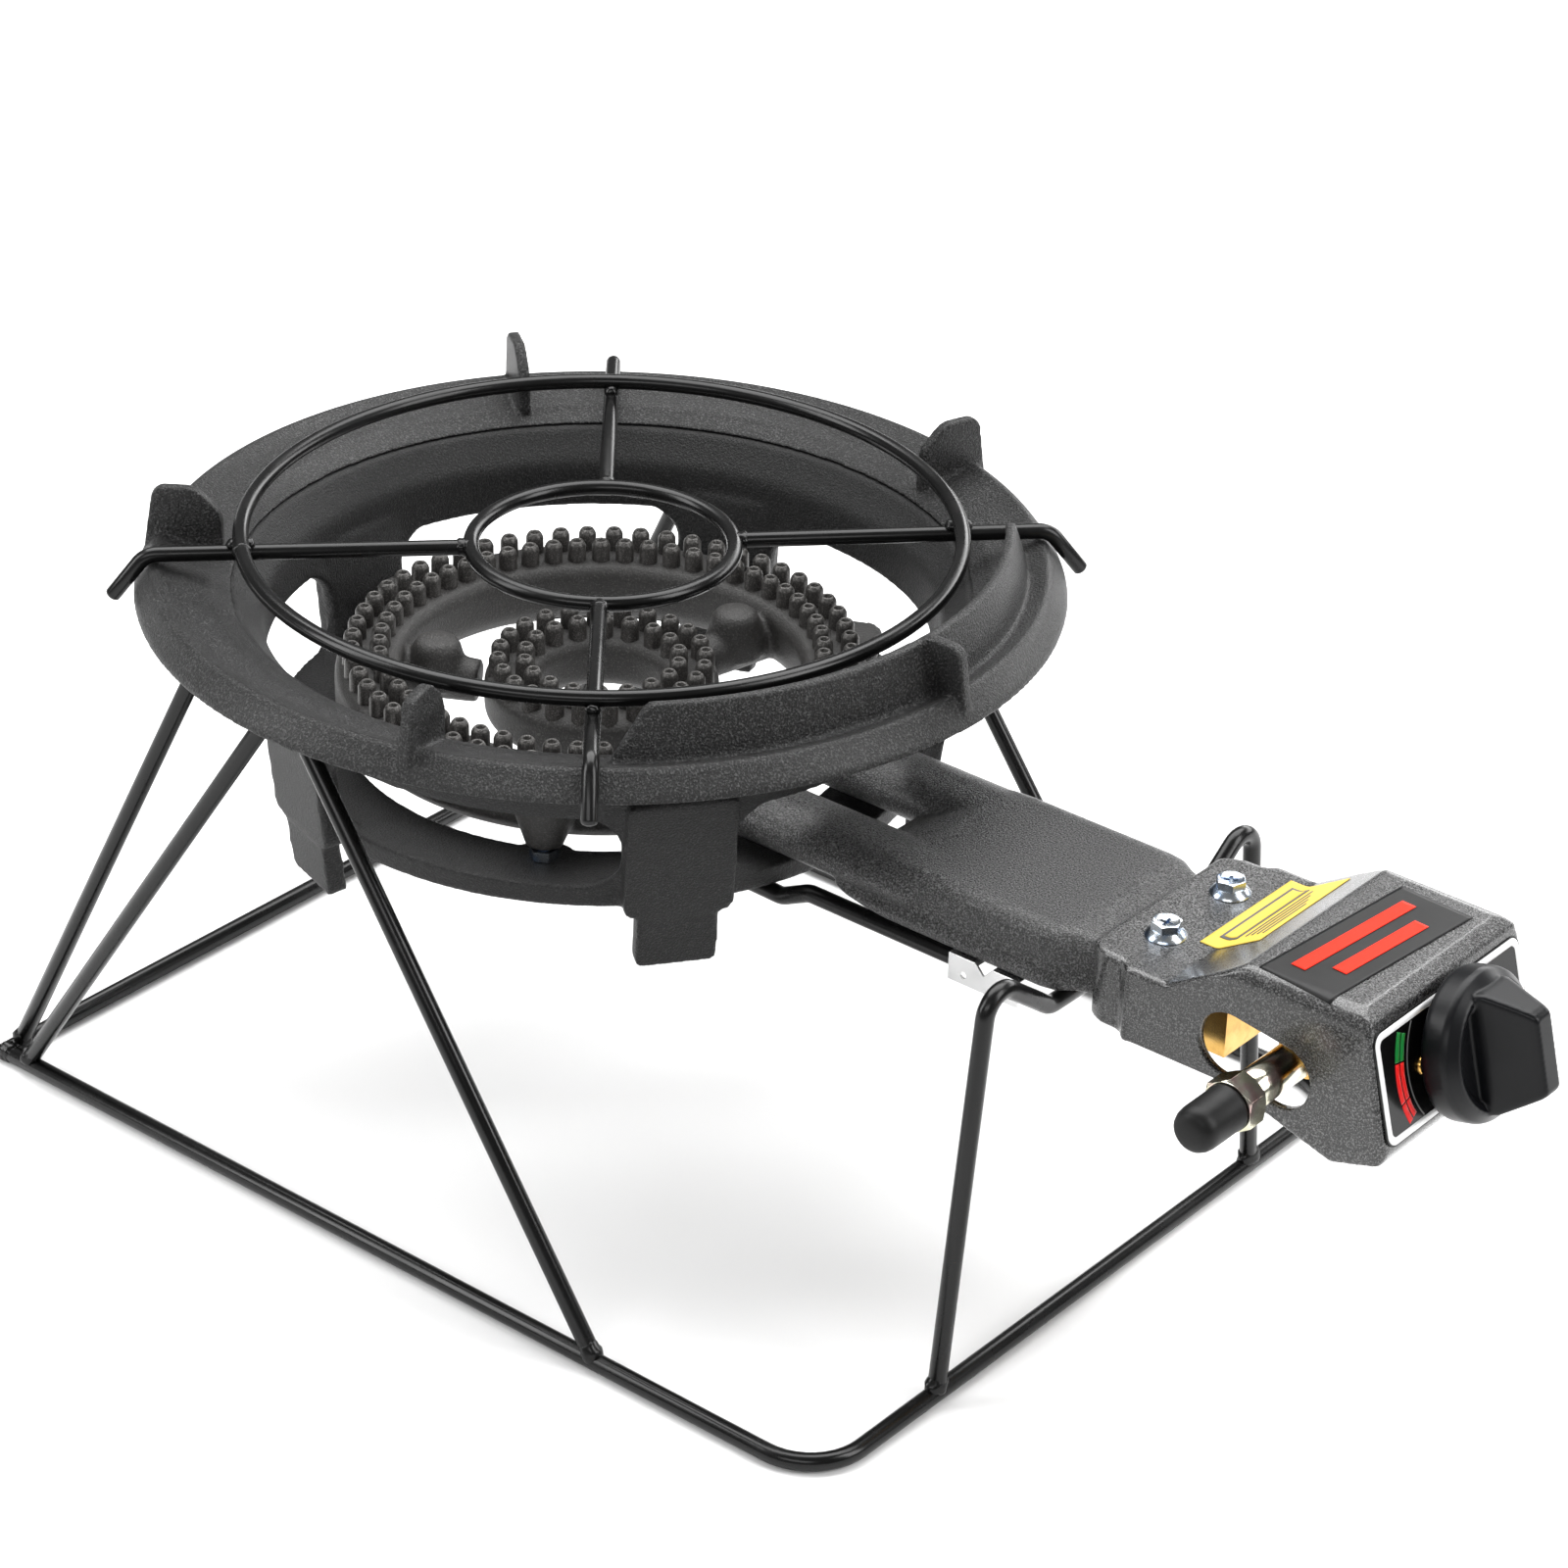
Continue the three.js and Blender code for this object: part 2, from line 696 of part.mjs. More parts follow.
const slotLength = 47;
const slotHeight = 24;
const inletSlot = (() => {
  const shape = roundedRectangle(slotLength, slotHeight, slotHeight / 2 - 0.1);
  return sidePlate(shape, 30).rotate([0, 8, 0]).translate([341.8, -52, 159.5]);
})();
const faceFrame = (solid) => solid.rotate([0, -faceTilt, 0]).translate([face.x, 0, face.z]);
const panelScrewY = 21;
const housing = housingBody(0)
  .subtract(housingBody(wall))
  .subtract(inletSlot)
  .subtract(faceFrame(rod(V(-20, 0, 0), V(20, 0, 0), 6)))
  .subtract(faceFrame(rod(V(-20, panelScrewY, 0), V(20, panelScrewY, 0), 1.8, 1.8, 12)))
  .subtract(faceFrame(rod(V(-20, -panelScrewY, 0), V(20, -panelScrewY, 0), 1.8, 1.8, 12)))
  .subtract(union([-1, 1].map((sign) => rod(V(boltX, sign * boltY, 160), V(boltX, sign * boltY, 180), 2.9, 2.9, 14))));
place('valve_housing', housing, hammerPaint());

for (const [name, sign] of [['right', -1], ['left', 1]]) {
  const at = (z) => V(boltX, sign * boltY, z);
  const head = union([
    rod(at(174.5), at(176.1), 7.4, 6.9, 24),
    rod(at(176), at(180.6), 5.9, 5.9, 6),
    rod(at(166.8), at(175), 2.5, 2.5, 14),
  ]).subtract(rod(at(178.4), at(185), 3.4, 3.4, 6));
  place(`housing_bolt_${name}`, head, zinc());
}

const panelPlate = radialPlate(roundedRectangle(93, 43, 5, 5, 0, 0), clearance, 1.1)
  .subtract(rod(V(-2, 0, 0), V(4, 0, 0), 6))
  .subtract(rod(V(-2, panelScrewY, 0), V(4, panelScrewY, 0), 1.8, 1.8, 12))
  .subtract(rod(V(-2, -panelScrewY, 0), V(4, -panelScrewY, 0), 1.8, 1.8, 12));
place('control_panel', faceFrame(panelPlate), blackPlastic());
for (const [name, sign] of [['right', -1], ['left', 1]]) {
  const at = (x) => V(x, sign * panelScrewY, 0);
  const screw = union([rod(at(1.4), at(3.1), 3.3, 2.4, 18), rod(at(-6.5), at(1.6), 1.5, 1.5, 12)]);
  place(`panel_screw_${name}`, faceFrame(screw), brass());
}

const labelTop = box(V(-15.5, -40, 193.3), V(15.5, 40, 193.9)).rotate([0, 0, -5]).translate([356, -4.5, 0]);
place('black_label', labelTop, blackPlastic());
const labelStrip = polygon([
  [295, 174.7],
  [302.6, 174.8],
  [318.5, 184.4],
  [318.1, 185.0],
  [302.3, 175.4],
  [295, 175.3],
]);
place('yellow_label', sidePlate(labelStrip, 60).translate([0, 14, 0]), finish(0xe3c24a, 0.5, 0));

// ---------------------------------------------------------------- valve train
const stemLocal = rod(V(-20, 0, 0), V(17.8, 0, 0), 4, 4, 20);
place('valve_stem', faceFrame(stemLocal), brass());

const valveBlock = box(V(338, -13, 147), V(364, 13, 173));
const valveNeck = faceFrame(rod(V(-30, 0, 0), V(-4.2, 0, 0), 9));
const valveFlange = faceFrame(box(V(-7.6, -26, -7), V(-4.2, 26, 7)));
const inletBoss = rod(V(inlet.x, -30, inlet.z), V(inlet.x, -5, inlet.z), 10);
const valveBody = union([valveBlock, valveNeck, valveFlange, inletBoss])
  .subtract(faceFrame(rod(V(-20.5, 0, 0), V(10, 0, 0), 4.3, 4.3, 20)))
  .subtract(faceFrame(rod(V(-9, panelScrewY, 0), V(4, panelScrewY, 0), 1.8, 1.8, 12)))
  .subtract(faceFrame(rod(V(-9, -panelScrewY, 0), V(4, -panelScrewY, 0), 1.8, 1.8, 12)))
  .subtract(rod(V(inlet.x, -31, inlet.z), V(inlet.x, -18, inlet.z), 6.3));
place('valve_body', valveBody, brass());

const orificeBar = union([
  box(V(306, -36, 147), V(322, 36, 167)),
  rod(V(320, 0, 158), V(337.7, 0, 158), 5, 5, 16),
  ...[-1, 1].map((sign) => rod(V(299.5, sign * tubeOffset, 158.5), V(307, sign * tubeOffset, 158.5), 3.2, 5, 14)),
]).subtract(union([-1, 1].map((sign) => rod(V(298, sign * tubeOffset, 158.5), V(316, sign * tubeOffset, 158.5), 0.9, 0.9, 10))));
place('orifice_bar', orificeBar, brass());

// The knob: a thick dished disc with a wedge grip across it.
const knobDisc = (() => {
  const outline = [
    [4.3, 4.5], [27.5, 4.5], [29, 6], [29, 15.5], [27.5, 18], [23.5, 18.6], [20.5, 16.4], [4.3, 15.8],
  ];
  const points = outline.map(([radius, height]) => new THREE.Vector2(radius, height));
  points.push(points[0].clone());
  const geometry = new THREE.LatheGeometry(points, 48);
  geometry.rotateZ(-Math.PI / 2);
  return toSolid(geometry);
})();
const gripSide = sidePlate(polygon([[12, -25], [19, -25], [38.5, -17], [40, -14], [40, 16], [38.5, 18.5], [19, 26.5], [12, 26.5]]), 26);
const gripPlan = plate(polygon([[10, -11], [19, -10.5], [40, -4.6], [40, 4.6], [19, 10.5], [10, 11]]), -40, 40);
const grip = gripSide.intersect(gripPlan).intersect(rod(V(0, 0, 0), V(60, 0, 0), 27.2, 27.2, 48));
const knob = knobDisc.add(grip).subtract(rod(V(0, 0, 0), V(18.1, 0, 0), 4.3, 4.3, 20));
place('control_knob', faceFrame(knob), blackPlastic());

// ---------------------------------------------------------------- gas inlet
const onInlet = (y) => V(inlet.x, y, inlet.z);
const inletPipe = union([
  rod(onInlet(-20), onInlet(-30.5), 6),
  rod(onInlet(-30.4), onInlet(-66), 7.2),
  rod(onInlet(-65), onInlet(-88), 5.5),
]).subtract(rod(onInlet(-25), onInlet(-90), 3.4));
place('inlet_pipe', inletPipe, yellowZinc());
const inletNut = rod(onInlet(-66.3), onInlet(-76), 10.8, 10.8, 6).subtract(rod(onInlet(-60), onInlet(-80), 5.8));
place('inlet_nut', inletNut, yellowZinc());
const capOutline = [[5.8, 0], [8.8, 0], [8.8, 17.5], [7.9, 20.4], [5.5, 22], [0, 22.5], [0, 13], [5.8, 13]];
const capPoints = capOutline.map(([radius, height]) => new THREE.Vector2(radius, height));
capPoints.push(capPoints[0].clone());
const capGeometry = new THREE.LatheGeometry(capPoints, 28);
capGeometry.rotateX(Math.PI);
capGeometry.translate(inlet.x, -76.3, inlet.z);
place('inlet_cap', toSolid(capGeometry), blackRubber());

// ---------------------------------------------------------------- pot grate
place('grate_outer_ring', wireRing(grateLargeRadius, grateBarHeight + 2 * grateWire + clearance, grateWire, 56), blackWire());
place('grate_inner_ring', wireRing(grateSmallRadius, grateBarHeight, grateWire, 32), blackWire());
for (const [name, angle] of Object.entries(grateBarAngles)) {
  const bar = wire(
    [
      V(grateSmallRadius + grateWire + clearance, 0, grateBarHeight),
      V(174.5, 0, grateBarHeight),
      V(187.5, 0, 210.5),
    ],
    grateWire,
    9
  );
  place(`grate_bar_${name}`, about(bar, angle), blackWire());
}

export default burnerStand;
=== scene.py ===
"""A gas burner in a cast pot ring, on a bent-wire stand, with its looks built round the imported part."""

import math

import bmesh
import bpy
from mathutils import Matrix, Vector, noise


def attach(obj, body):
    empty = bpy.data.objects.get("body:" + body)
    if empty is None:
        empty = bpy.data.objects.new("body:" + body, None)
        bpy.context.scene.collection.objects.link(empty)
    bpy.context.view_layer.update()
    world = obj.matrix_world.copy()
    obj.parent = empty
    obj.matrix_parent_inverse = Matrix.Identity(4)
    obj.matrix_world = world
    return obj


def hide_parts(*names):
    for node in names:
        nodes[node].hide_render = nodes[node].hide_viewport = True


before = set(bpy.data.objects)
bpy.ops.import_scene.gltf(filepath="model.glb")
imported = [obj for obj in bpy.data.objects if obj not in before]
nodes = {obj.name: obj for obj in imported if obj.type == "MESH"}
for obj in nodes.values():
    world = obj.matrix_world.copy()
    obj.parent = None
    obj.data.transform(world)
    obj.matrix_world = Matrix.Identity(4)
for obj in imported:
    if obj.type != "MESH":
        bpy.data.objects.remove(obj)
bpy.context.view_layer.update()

# Shapes are drawn in millimetres with the burner's axis at x = 0, as the part's own source draws them.
MM = 0.001
ORIGIN_X = 126.5


def in_frame(point):
    """A drawn point, in the row frame in metres."""
    return Vector(((point[0] - ORIGIN_X) * MM, point[1] * MM, point[2] * MM))


# ---------------------------------------------------------------- camera and studio
CAMERA_AT = (1046.6, -1194.0, 1005.4)
CAMERA_TURN = math.radians(-51.44)
CAMERA_HEIGHT = math.radians(29.05)
CAMERA_ROLL = math.radians(1.77)
LENS = 105.24
SHIFT = (-0.00275, -0.0007)


def set_camera():
    back = Vector((
        math.cos(CAMERA_TURN) * math.cos(CAMERA_HEIGHT),
        math.sin(CAMERA_TURN) * math.cos(CAMERA_HEIGHT),
        math.sin(CAMERA_HEIGHT),
    ))
    level = Vector((-math.sin(CAMERA_TURN), math.cos(CAMERA_TURN), 0))
    upright = back.cross(level)
    right = level * math.cos(CAMERA_ROLL) + upright * math.sin(CAMERA_ROLL)
    up = back.cross(right)
    data = bpy.data.cameras.new("studio_camera")
    data.sensor_width = 36
    data.lens = LENS
    data.shift_x = SHIFT[0]
    data.shift_y = SHIFT[1]
    data.clip_end = 20
    camera = bpy.data.objects.new("studio_camera", data)
    camera.matrix_world = Matrix((
        (right.x, up.x, back.x, 0),
        (right.y, up.y, back.y, 0),
        (right.z, up.z, back.z, 0),
        (0, 0, 0, 1),
    ))
    camera.location = in_frame(CAMERA_AT)
    bpy.context.scene.collection.objects.link(camera)
    bpy.context.scene.camera = camera
    return camera


def soft_light(name, at, aim, size, power):
    data = bpy.data.lights.new(name, "AREA")
    data.shape = "RECTANGLE"
    data.size = size[0]
    data.size_y = size[1]
    data.energy = power
    lamp = bpy.data.objects.new(name, data)
    lamp.location = at
    lamp.rotation_euler = (Vector(aim) - Vector(at)).to_track_quat("-Z", "Y").to_euler()
    bpy.context.scene.collection.objects.link(lamp)


def studio():
    """Dim air and a few large soft lamps, so that black paint stays black between its highlights."""
    world = bpy.data.worlds.new("studio_air")
    world.use_nodes = True
    air = world.node_tree.nodes["Background"]
    air.inputs["Color"].default_value = (1, 1, 1, 1)
    air.inputs["Strength"].default_value = 0.2
    bpy.context.scene.world = world
    bpy.context.scene.view_settings.view_transform = "Standard"
    soft_light("light_over", (-0.5, 0.5, 1.9), (0, 0, 0.1), (2.6, 1.6), 84)
    soft_light("light_left", (-1.5, -1.5, 1.2), (-0.1, 0, 0.15), (0.8, 1.6), 30)
    soft_light("light_right", (1.7, 0.5, 1.3), (0.15, 0, 0.15), (0.8, 1.5), 30)
    soft_light("light_front", (0.9, -2.2, 1.6), (0.1, 0, 0.1), (2.0, 0.7), 18)
    soft_light("light_back", (0.1, 2.3, 0.9), (0, 0, 0.18), (2.6, 0.7), 34)


# ---------------------------------------------------------------- mesh tools
def new_piece(name, mesh):
    piece = bpy.data.objects.new(name, mesh)
    bpy.context.scene.collection.objects.link(piece)
    return piece


def mesh_piece(name, points, faces, place=None):
    """A smooth-shaded mesh from drawn points. place moves them first, in millimetres."""
    if place is not None:
        points = [place @ Vector(point) for point in points]
    mesh = bpy.data.meshes.new(name)
    mesh.from_pydata([in_frame(point) for point in points], [], faces)
    mesh.validate()
    outward = bmesh.new()
    outward.from_mesh(mesh)
    bmesh.ops.recalc_face_normals(outward, faces=outward.faces)
    outward.to_mesh(mesh)
    outward.free()
    mesh.shade_smooth()
    return new_piece(name, mesh)


def softened(outline, radius, steps=4):
    """A closed outline with its corners rounded. A point may carry its own radius."""
    points = []
    count = len(outline)
    for i, corner in enumerate(outline):
        here = Vector(corner[:2])
        before = Vector(outline[i - 1][:2]) - here
        after = Vector(outline[(i + 1) % count][:2]) - here
        own = corner[2] if len(corner) > 2 else radius
        reach = min(own, before.length * 0.49, after.length * 0.49)
        if reach < 0.01:
            points.append((here.x, here.y))
            continue
        first = here + before.normalized() * reach
        last = here + after.normalized() * reach
        for k in range(steps + 1):
            t = k / steps
            bend = first * (1 - t) ** 2 + here * (2 * t * (1 - t)) + last * t ** 2
            points.append((bend.x, bend.y))
    return points


def turned(name, outline, segments=160, place=None):
    """A body turned about the z axis from an outline of (radius, height)."""
    points = []
    faces = []
    rows = len(outline)
    for s in range(segments):
        angle = 2 * math.pi * s / segments
        for radius, height in outline:
            points.append((radius * math.cos(angle), radius * math.sin(angle), height))
    for s in range(segments):
        this = s * rows
        following = ((s + 1) % segments) * rows
        for r in range(rows):
            up = (r + 1) % rows
            faces.append((this + r, following + r, following + up, this + up))
    return mesh_piece(name, points, faces, place)


def prism(name, outline, low, high, place=None):
    """An outline drawn in x and y, thick from low to high along z."""
    count = len(outline)
    points = [(x, y, low) for x, y in outline] + [(x, y, high) for x, y in outline]
    faces = [tuple(range(count))[::-1], tuple(range(count, 2 * count))]
    for i in range(count):
        j = (i + 1) % count
        faces.append((i, j, j + count, i + count))
    return mesh_piece(name, points, faces, place)


def lofted(name, sections, place=None):
    """A skin over outlines with equal numbers of points, given as (distance, outline)."""
    count = len(sections[0][1])
    points = [(x, y, distance) for distance, outline in sections for x, y in outline]
    faces = [tuple(range(count))[::-1], tuple(range(len(points) - count, len(points)))]
    for row in range(len(sections) - 1):
        low = row * count
        high = low + count
        for i in range(count):
            j = (i + 1) % count
            faces.append((low + i, low + j, high + j, high + i))
    return mesh_piece(name, points, faces, place)


def swept(name, stations, radius, sides=20, closed=False):
    """A round wire through stations of (point, heading), with rounded ends or joined to itself."""
    points = []
    faces = []
    side = stations[0][1].orthogonal().normalized()
    rings = []
    for at, heading in stations:
        side = (side - heading * side.dot(heading)).normalized()
        rings.append((at, heading, side.copy(), radius))
    if not closed:
        crown = []
        for end, sign in ((rings[0], -1), (rings[-1], 1)):
            extra = []
            for k in range(1, 5):
                angle = math.radians(22 * k)
                at = end[0] + end[1] * (sign * radius * 0.55 * math.sin(angle))
                extra.append((at, end[1], end[2], radius * math.cos(angle)))
            crown.append(extra)
        rings = crown[0][::-1] + rings + crown[1]
    for at, heading, across, reach in rings:
        other = heading.cross(across)
        for k in range(sides):
            angle = 2 * math.pi * k / sides
            points.append(at + across * (reach * math.cos(angle)) + other * (reach * math.sin(angle)))
    spans = len(rings) if closed else len(rings) - 1
    for r in range(spans):
        this = r * sides
        following = ((r + 1) % len(rings)) * sides
        for k in range(sides):
            j = (k + 1) % sides
            faces.append((this + k, this + j, following + j, following + k))
    if not closed:
        faces.append(tuple(range(sides))[::-1])
        faces.append(tuple(range(len(points) - sides, len(points))))
    return mesh_piece(name, points, faces)


def bent_path(corners, bend, steps=10):
    """Stations along straights that are joined by round bends."""
    corners = [Vector(corner) for corner in corners]
    last = len(corners) - 1
    stations = [(corners[0], (corners[1] - corners[0]).normalized())]
    for i in range(1, last):
        before = (corners[i] - corners[i - 1]).normalized()
        after = (corners[i + 1] - corners[i]).normalized()
        turn = before.angle(after)
        start = corners[i] - before * (bend * math.tan(turn / 2))
        inward = (after - before * after.dot(before)).normalized()
        centre = start + inward * bend
        for k in range(steps + 1):
            angle = turn * k / steps
            at = centre - inward * (bend * math.cos(angle)) + before * (bend * math.sin(angle))
            heading = before * math.cos(angle) + inward * math.sin(angle)
            stations.append((at, heading.normalized()))
    stations.append((corners[last], (corners[last] - corners[last - 1]).normalized()))
    return stations


def wire(name, corners, radius, bend=1.0):
    return swept(name, bent_path(corners, bend), radius)


def wire_ring(name, ring_radius, height, radius, steps=144):
    stations = []
    for k in range(steps):
        angle = 2 * math.pi * k / steps
        at = Vector((ring_radius * math.cos(angle), ring_radius * math.sin(angle), height))
        stations.append((at, Vector((-math.sin(angle), math.cos(angle), 0))))
    return swept(name, stations, radius, closed=True)


def on_circle(radius, degrees, height):
    angle = math.radians(degrees)
    return Vector((radius * math.cos(angle), radius * math.sin(angle), height))


def about(degrees):
    return Matrix.Rotation(math.radians(degrees), 4, "Z")


def settled(piece):
    """Bakes a piece's modifiers into its mesh."""
    bpy.context.view_layer.update()
    view = bpy.context.evaluated_depsgraph_get()
    mesh = bpy.data.meshes.new_from_object(piece.evaluated_get(view))
    piece.modifiers.clear()
    old = piece.data
    piece.data = mesh
    bpy.data.meshes.remove(old)
    mesh.shade_smooth()
    return piece


def remove(piece):
    mesh = piece.data
    bpy.data.objects.remove(piece)
    bpy.data.meshes.remove(mesh)


def joined(name, pieces):
    """One piece from several, without moving any of them."""
    whole = bmesh.new()
    for piece in pieces:
        whole.from_mesh(piece.data)
    mesh = bpy.data.meshes.new(name)
    whole.to_mesh(mesh)
    whole.free()
    mesh.shade_smooth()
    for piece in pieces:
        remove(piece)
    return new_piece(name, mesh)


def combined(piece, tools, operation):
    """piece with the tools cut away from it, or with only what it shares with them."""
    for tool in tools:
        step = piece.modifiers.new("tool", "BOOLEAN")
        step.operation = operation
        step.solver = "EXACT"
        step.object = tool
        settled(piece)
        remove(tool)
    return piece


def cut(piece, tools):
    return combined(piece, tools, "DIFFERENCE")


def shared(piece, tools):
    return combined(piece, tools, "INTERSECT")


def cast(name, solids, grain, rounds):
    """Overlapping solids run together into one casting with soft edges and fillets."""
    piece = joined(name, solids)
    step = piece.modifiers.new("flow", "REMESH")
    step.mode = "VOXEL"
    step.voxel_size = grain * MM
    step.use_smooth_shade = True
    ease = piece.modifiers.new("ease", "SMOOTH")
    ease.factor = 0.5
    ease.iterations = rounds
    return settled(piece)


def eased(piece, width, segments=3, angle=30):
    """Rounds a piece's sharp edges."""
    step = piece.modifiers.new("edges", "BEVEL")
    step.width = width * MM
    step.segments = segments
    step.limit_method = "ANGLE"
    step.angle_limit = math.radians(angle)
    step.harden_normals = True
    return piece


def block(name, low, high, place=None):
    outline = [(low[0], low[1]), (high[0], low[1]), (high[0], high[1]), (low[0], high[1])]
    return prism(name, outline, low[2], high[2], place)


def rod(name, start, end, radius_start, radius_end=None, sides=48):
    """A round bar or cone between two points."""
    start = Vector(start)
    along = Vector(end) - start
    radius_end = radius_start if radius_end is None else radius_end
    turn = along.to_track_quat("Z", "Y").to_matrix().to_4x4()
    outline = [(0.0, 0.0), (radius_start, 0.0), (radius_end, along.length), (0.0, along.length)]
    return capped_turn(name, outline, sides, Matrix.Translation(start) @ turn)


def capped_turn(name, outline, segments=64, place=None):
    """A turned body whose outline starts and ends on the axis."""
    points = [(0, 0, outline[0][1])]
    faces = []
    inner = outline[1:-1]
    for radius, height in inner:
        for s in range(segments):
            angle = 2 * math.pi * s / segments
            points.append((radius * math.cos(angle), radius * math.sin(angle), height))
    points.append((0, 0, outline[-1][1]))
    top = len(points) - 1
    last = 1 + (len(inner) - 1) * segments
    for s in range(segments):
        following = (s + 1) % segments
        faces.append((0, 1 + following, 1 + s))
        faces.append((top, last + s, last + following))
        for r in range(len(inner) - 1):
            low = 1 + r * segments
            high = low + segments
            faces.append((low + s, low + following, high + following, high + s))
    return mesh_piece(name, points, faces, place)


def rounded_box(width, height, radius, lift=0.0, steps=6):
    """A rectangle with round corners, its middle raised by lift."""
    half_w = width / 2
    half_h = height / 2
    points = []
    for sign_x, sign_y, start in ((1, -1, -90), (1, 1, 0), (-1, 1, 90), (-1, -1, 180)):
        for k in range(steps + 1):
            angle = math.radians(start + 90 * k / steps)
            across = sign_x * (half_w - radius) + radius * math.cos(angle)
            along = sign_y * (half_h - radius) + radius * math.sin(angle)
            points.append((across, lift + along))
    return points


def weld(name, at, along, reach, seed):
    """A small lump of weld metal, uneven and stretched along the joint."""
    lump = bmesh.new()
    bmesh.ops.create_icosphere(lump, subdivisions=3, radius=1.0)
    turn = Vector(along).to_track_quat("Z", "Y").to_matrix()
    points = []
    for vertex in lump.verts:
        bump = 1 + 0.16 * noise.noise(vertex.co * 1.7 + Vector((seed, 0, 0)))
        ripple = 1 + 0.05 * math.sin(9 * vertex.co.z + seed)
        local = Vector((
            vertex.co.x * reach[0] * bump * ripple,
            vertex.co.y * reach[1] * bump * ripple,
            vertex.co.z * reach[2] * bump,
        ))
        points.append(Vector(at) + turn @ local)
    faces = [tuple(v.index for v in face.verts) for face in lump.faces]
    lump.free()
    return mesh_piece(name, points, faces)


def add_weld(body, name, at, along, reach, seed):
    finish_piece(weld(name, at, along, reach, seed), body, "wire")


# Outlines drawn as (side, up) get their thickness outward along x.
OUTWARD = Matrix(((0, 0, 1, 0), (1, 0, 0, 0), (0, 1, 0, 0), (0, 0, 0, 1)))
# Outlines drawn as (radius, height) get their thickness along y.
SIDEWAYS = Matrix(((1, 0, 0, 0), (0, 0, -1, 0), (0, 1, 0, 0), (0, 0, 0, 1)))
# A body turned about z comes to lie about x.
ALONG_X = Matrix.Rotation(math.radians(90), 4, "Y")
FACE_TILT = math.radians(-15)
FACE = Matrix.Translation((390.75, 0, 166.5)) @ Matrix.Rotation(FACE_TILT, 4, "Y")


# ---------------------------------------------------------------- node groups
def new_group(name, inputs, outputs):
    group = bpy.data.node_groups.new(name, "ShaderNodeTree")
    for label, kind, value in inputs:
        socket = group.interface.new_socket(label, in_out="INPUT", socket_type=kind)
        socket.default_value = value
    for label, kind in outputs:
        group.interface.new_socket(label, in_out="OUTPUT", socket_type=kind)
    return group


def add_node(tree, kind, **settings):
    node = tree.nodes.new(kind)
    for key, value in settings.items():
        setattr(node, key, value)
    return node


def texture(tree, kind, scale, **settings):
    """A texture laid over the object in its own frame, so that every piece has it at its real size."""
    node = add_node(tree, kind, **settings)
    coordinates = add_node(tree, "ShaderNodeTexCoord")
    tree.links.new(coordinates.outputs["Object"], node.inputs["Vector"])
    if isinstance(scale, (int, float)):
        node.inputs["Scale"].default_value = scale
    else:
        tree.links.new(scale, node.inputs["Scale"])
    return node


def maths(tree, operation, first, second):
    node = add_node(tree, "ShaderNodeMath", operation=operation)
    for socket, value in zip(node.inputs, (first, second)):
        if isinstance(value, (int, float)):
            socket.default_value = value
        else:
            tree.links.new(value, socket)
    return node.outputs[0]


def remapped(tree, value, low, high, to_low, to_high):
    node = add_node(tree, "ShaderNodeMapRange")
    tree.links.new(value, node.inputs["Value"])
    for label, bound in (("From Min", low), ("From Max", high), ("To Min", to_low), ("To Max", to_high)):
        if isinstance(bound, (int, float)):
            node.inputs[label].default_value = bound
        else:
            tree.links.new(bound, node.inputs[label])
    return node.outputs["Result"]


def mixed(tree, factor, first, second):
    node = add_node(tree, "ShaderNodeMix", data_type="RGBA")
    for socket, value in ((node.inputs["Factor"], factor), (node.inputs[6], first), (node.inputs[7], second)):
        if isinstance(value, (int, float, tuple)):
            socket.default_value = value
        else:
            tree.links.new(value, socket)
    return node.outputs[2]


def end_group(group, **results):
    """Links each result to the group's output of that name."""
    end = add_node(group, "NodeGroupOutput")
    for label, socket in results.items():
        group.links.new(socket, end.inputs[label])
    return group


SURFACE = (("Color", "NodeSocketColor"), ("Height", "NodeSocketFloat"), ("Roughness", "NodeSocketFloat"))


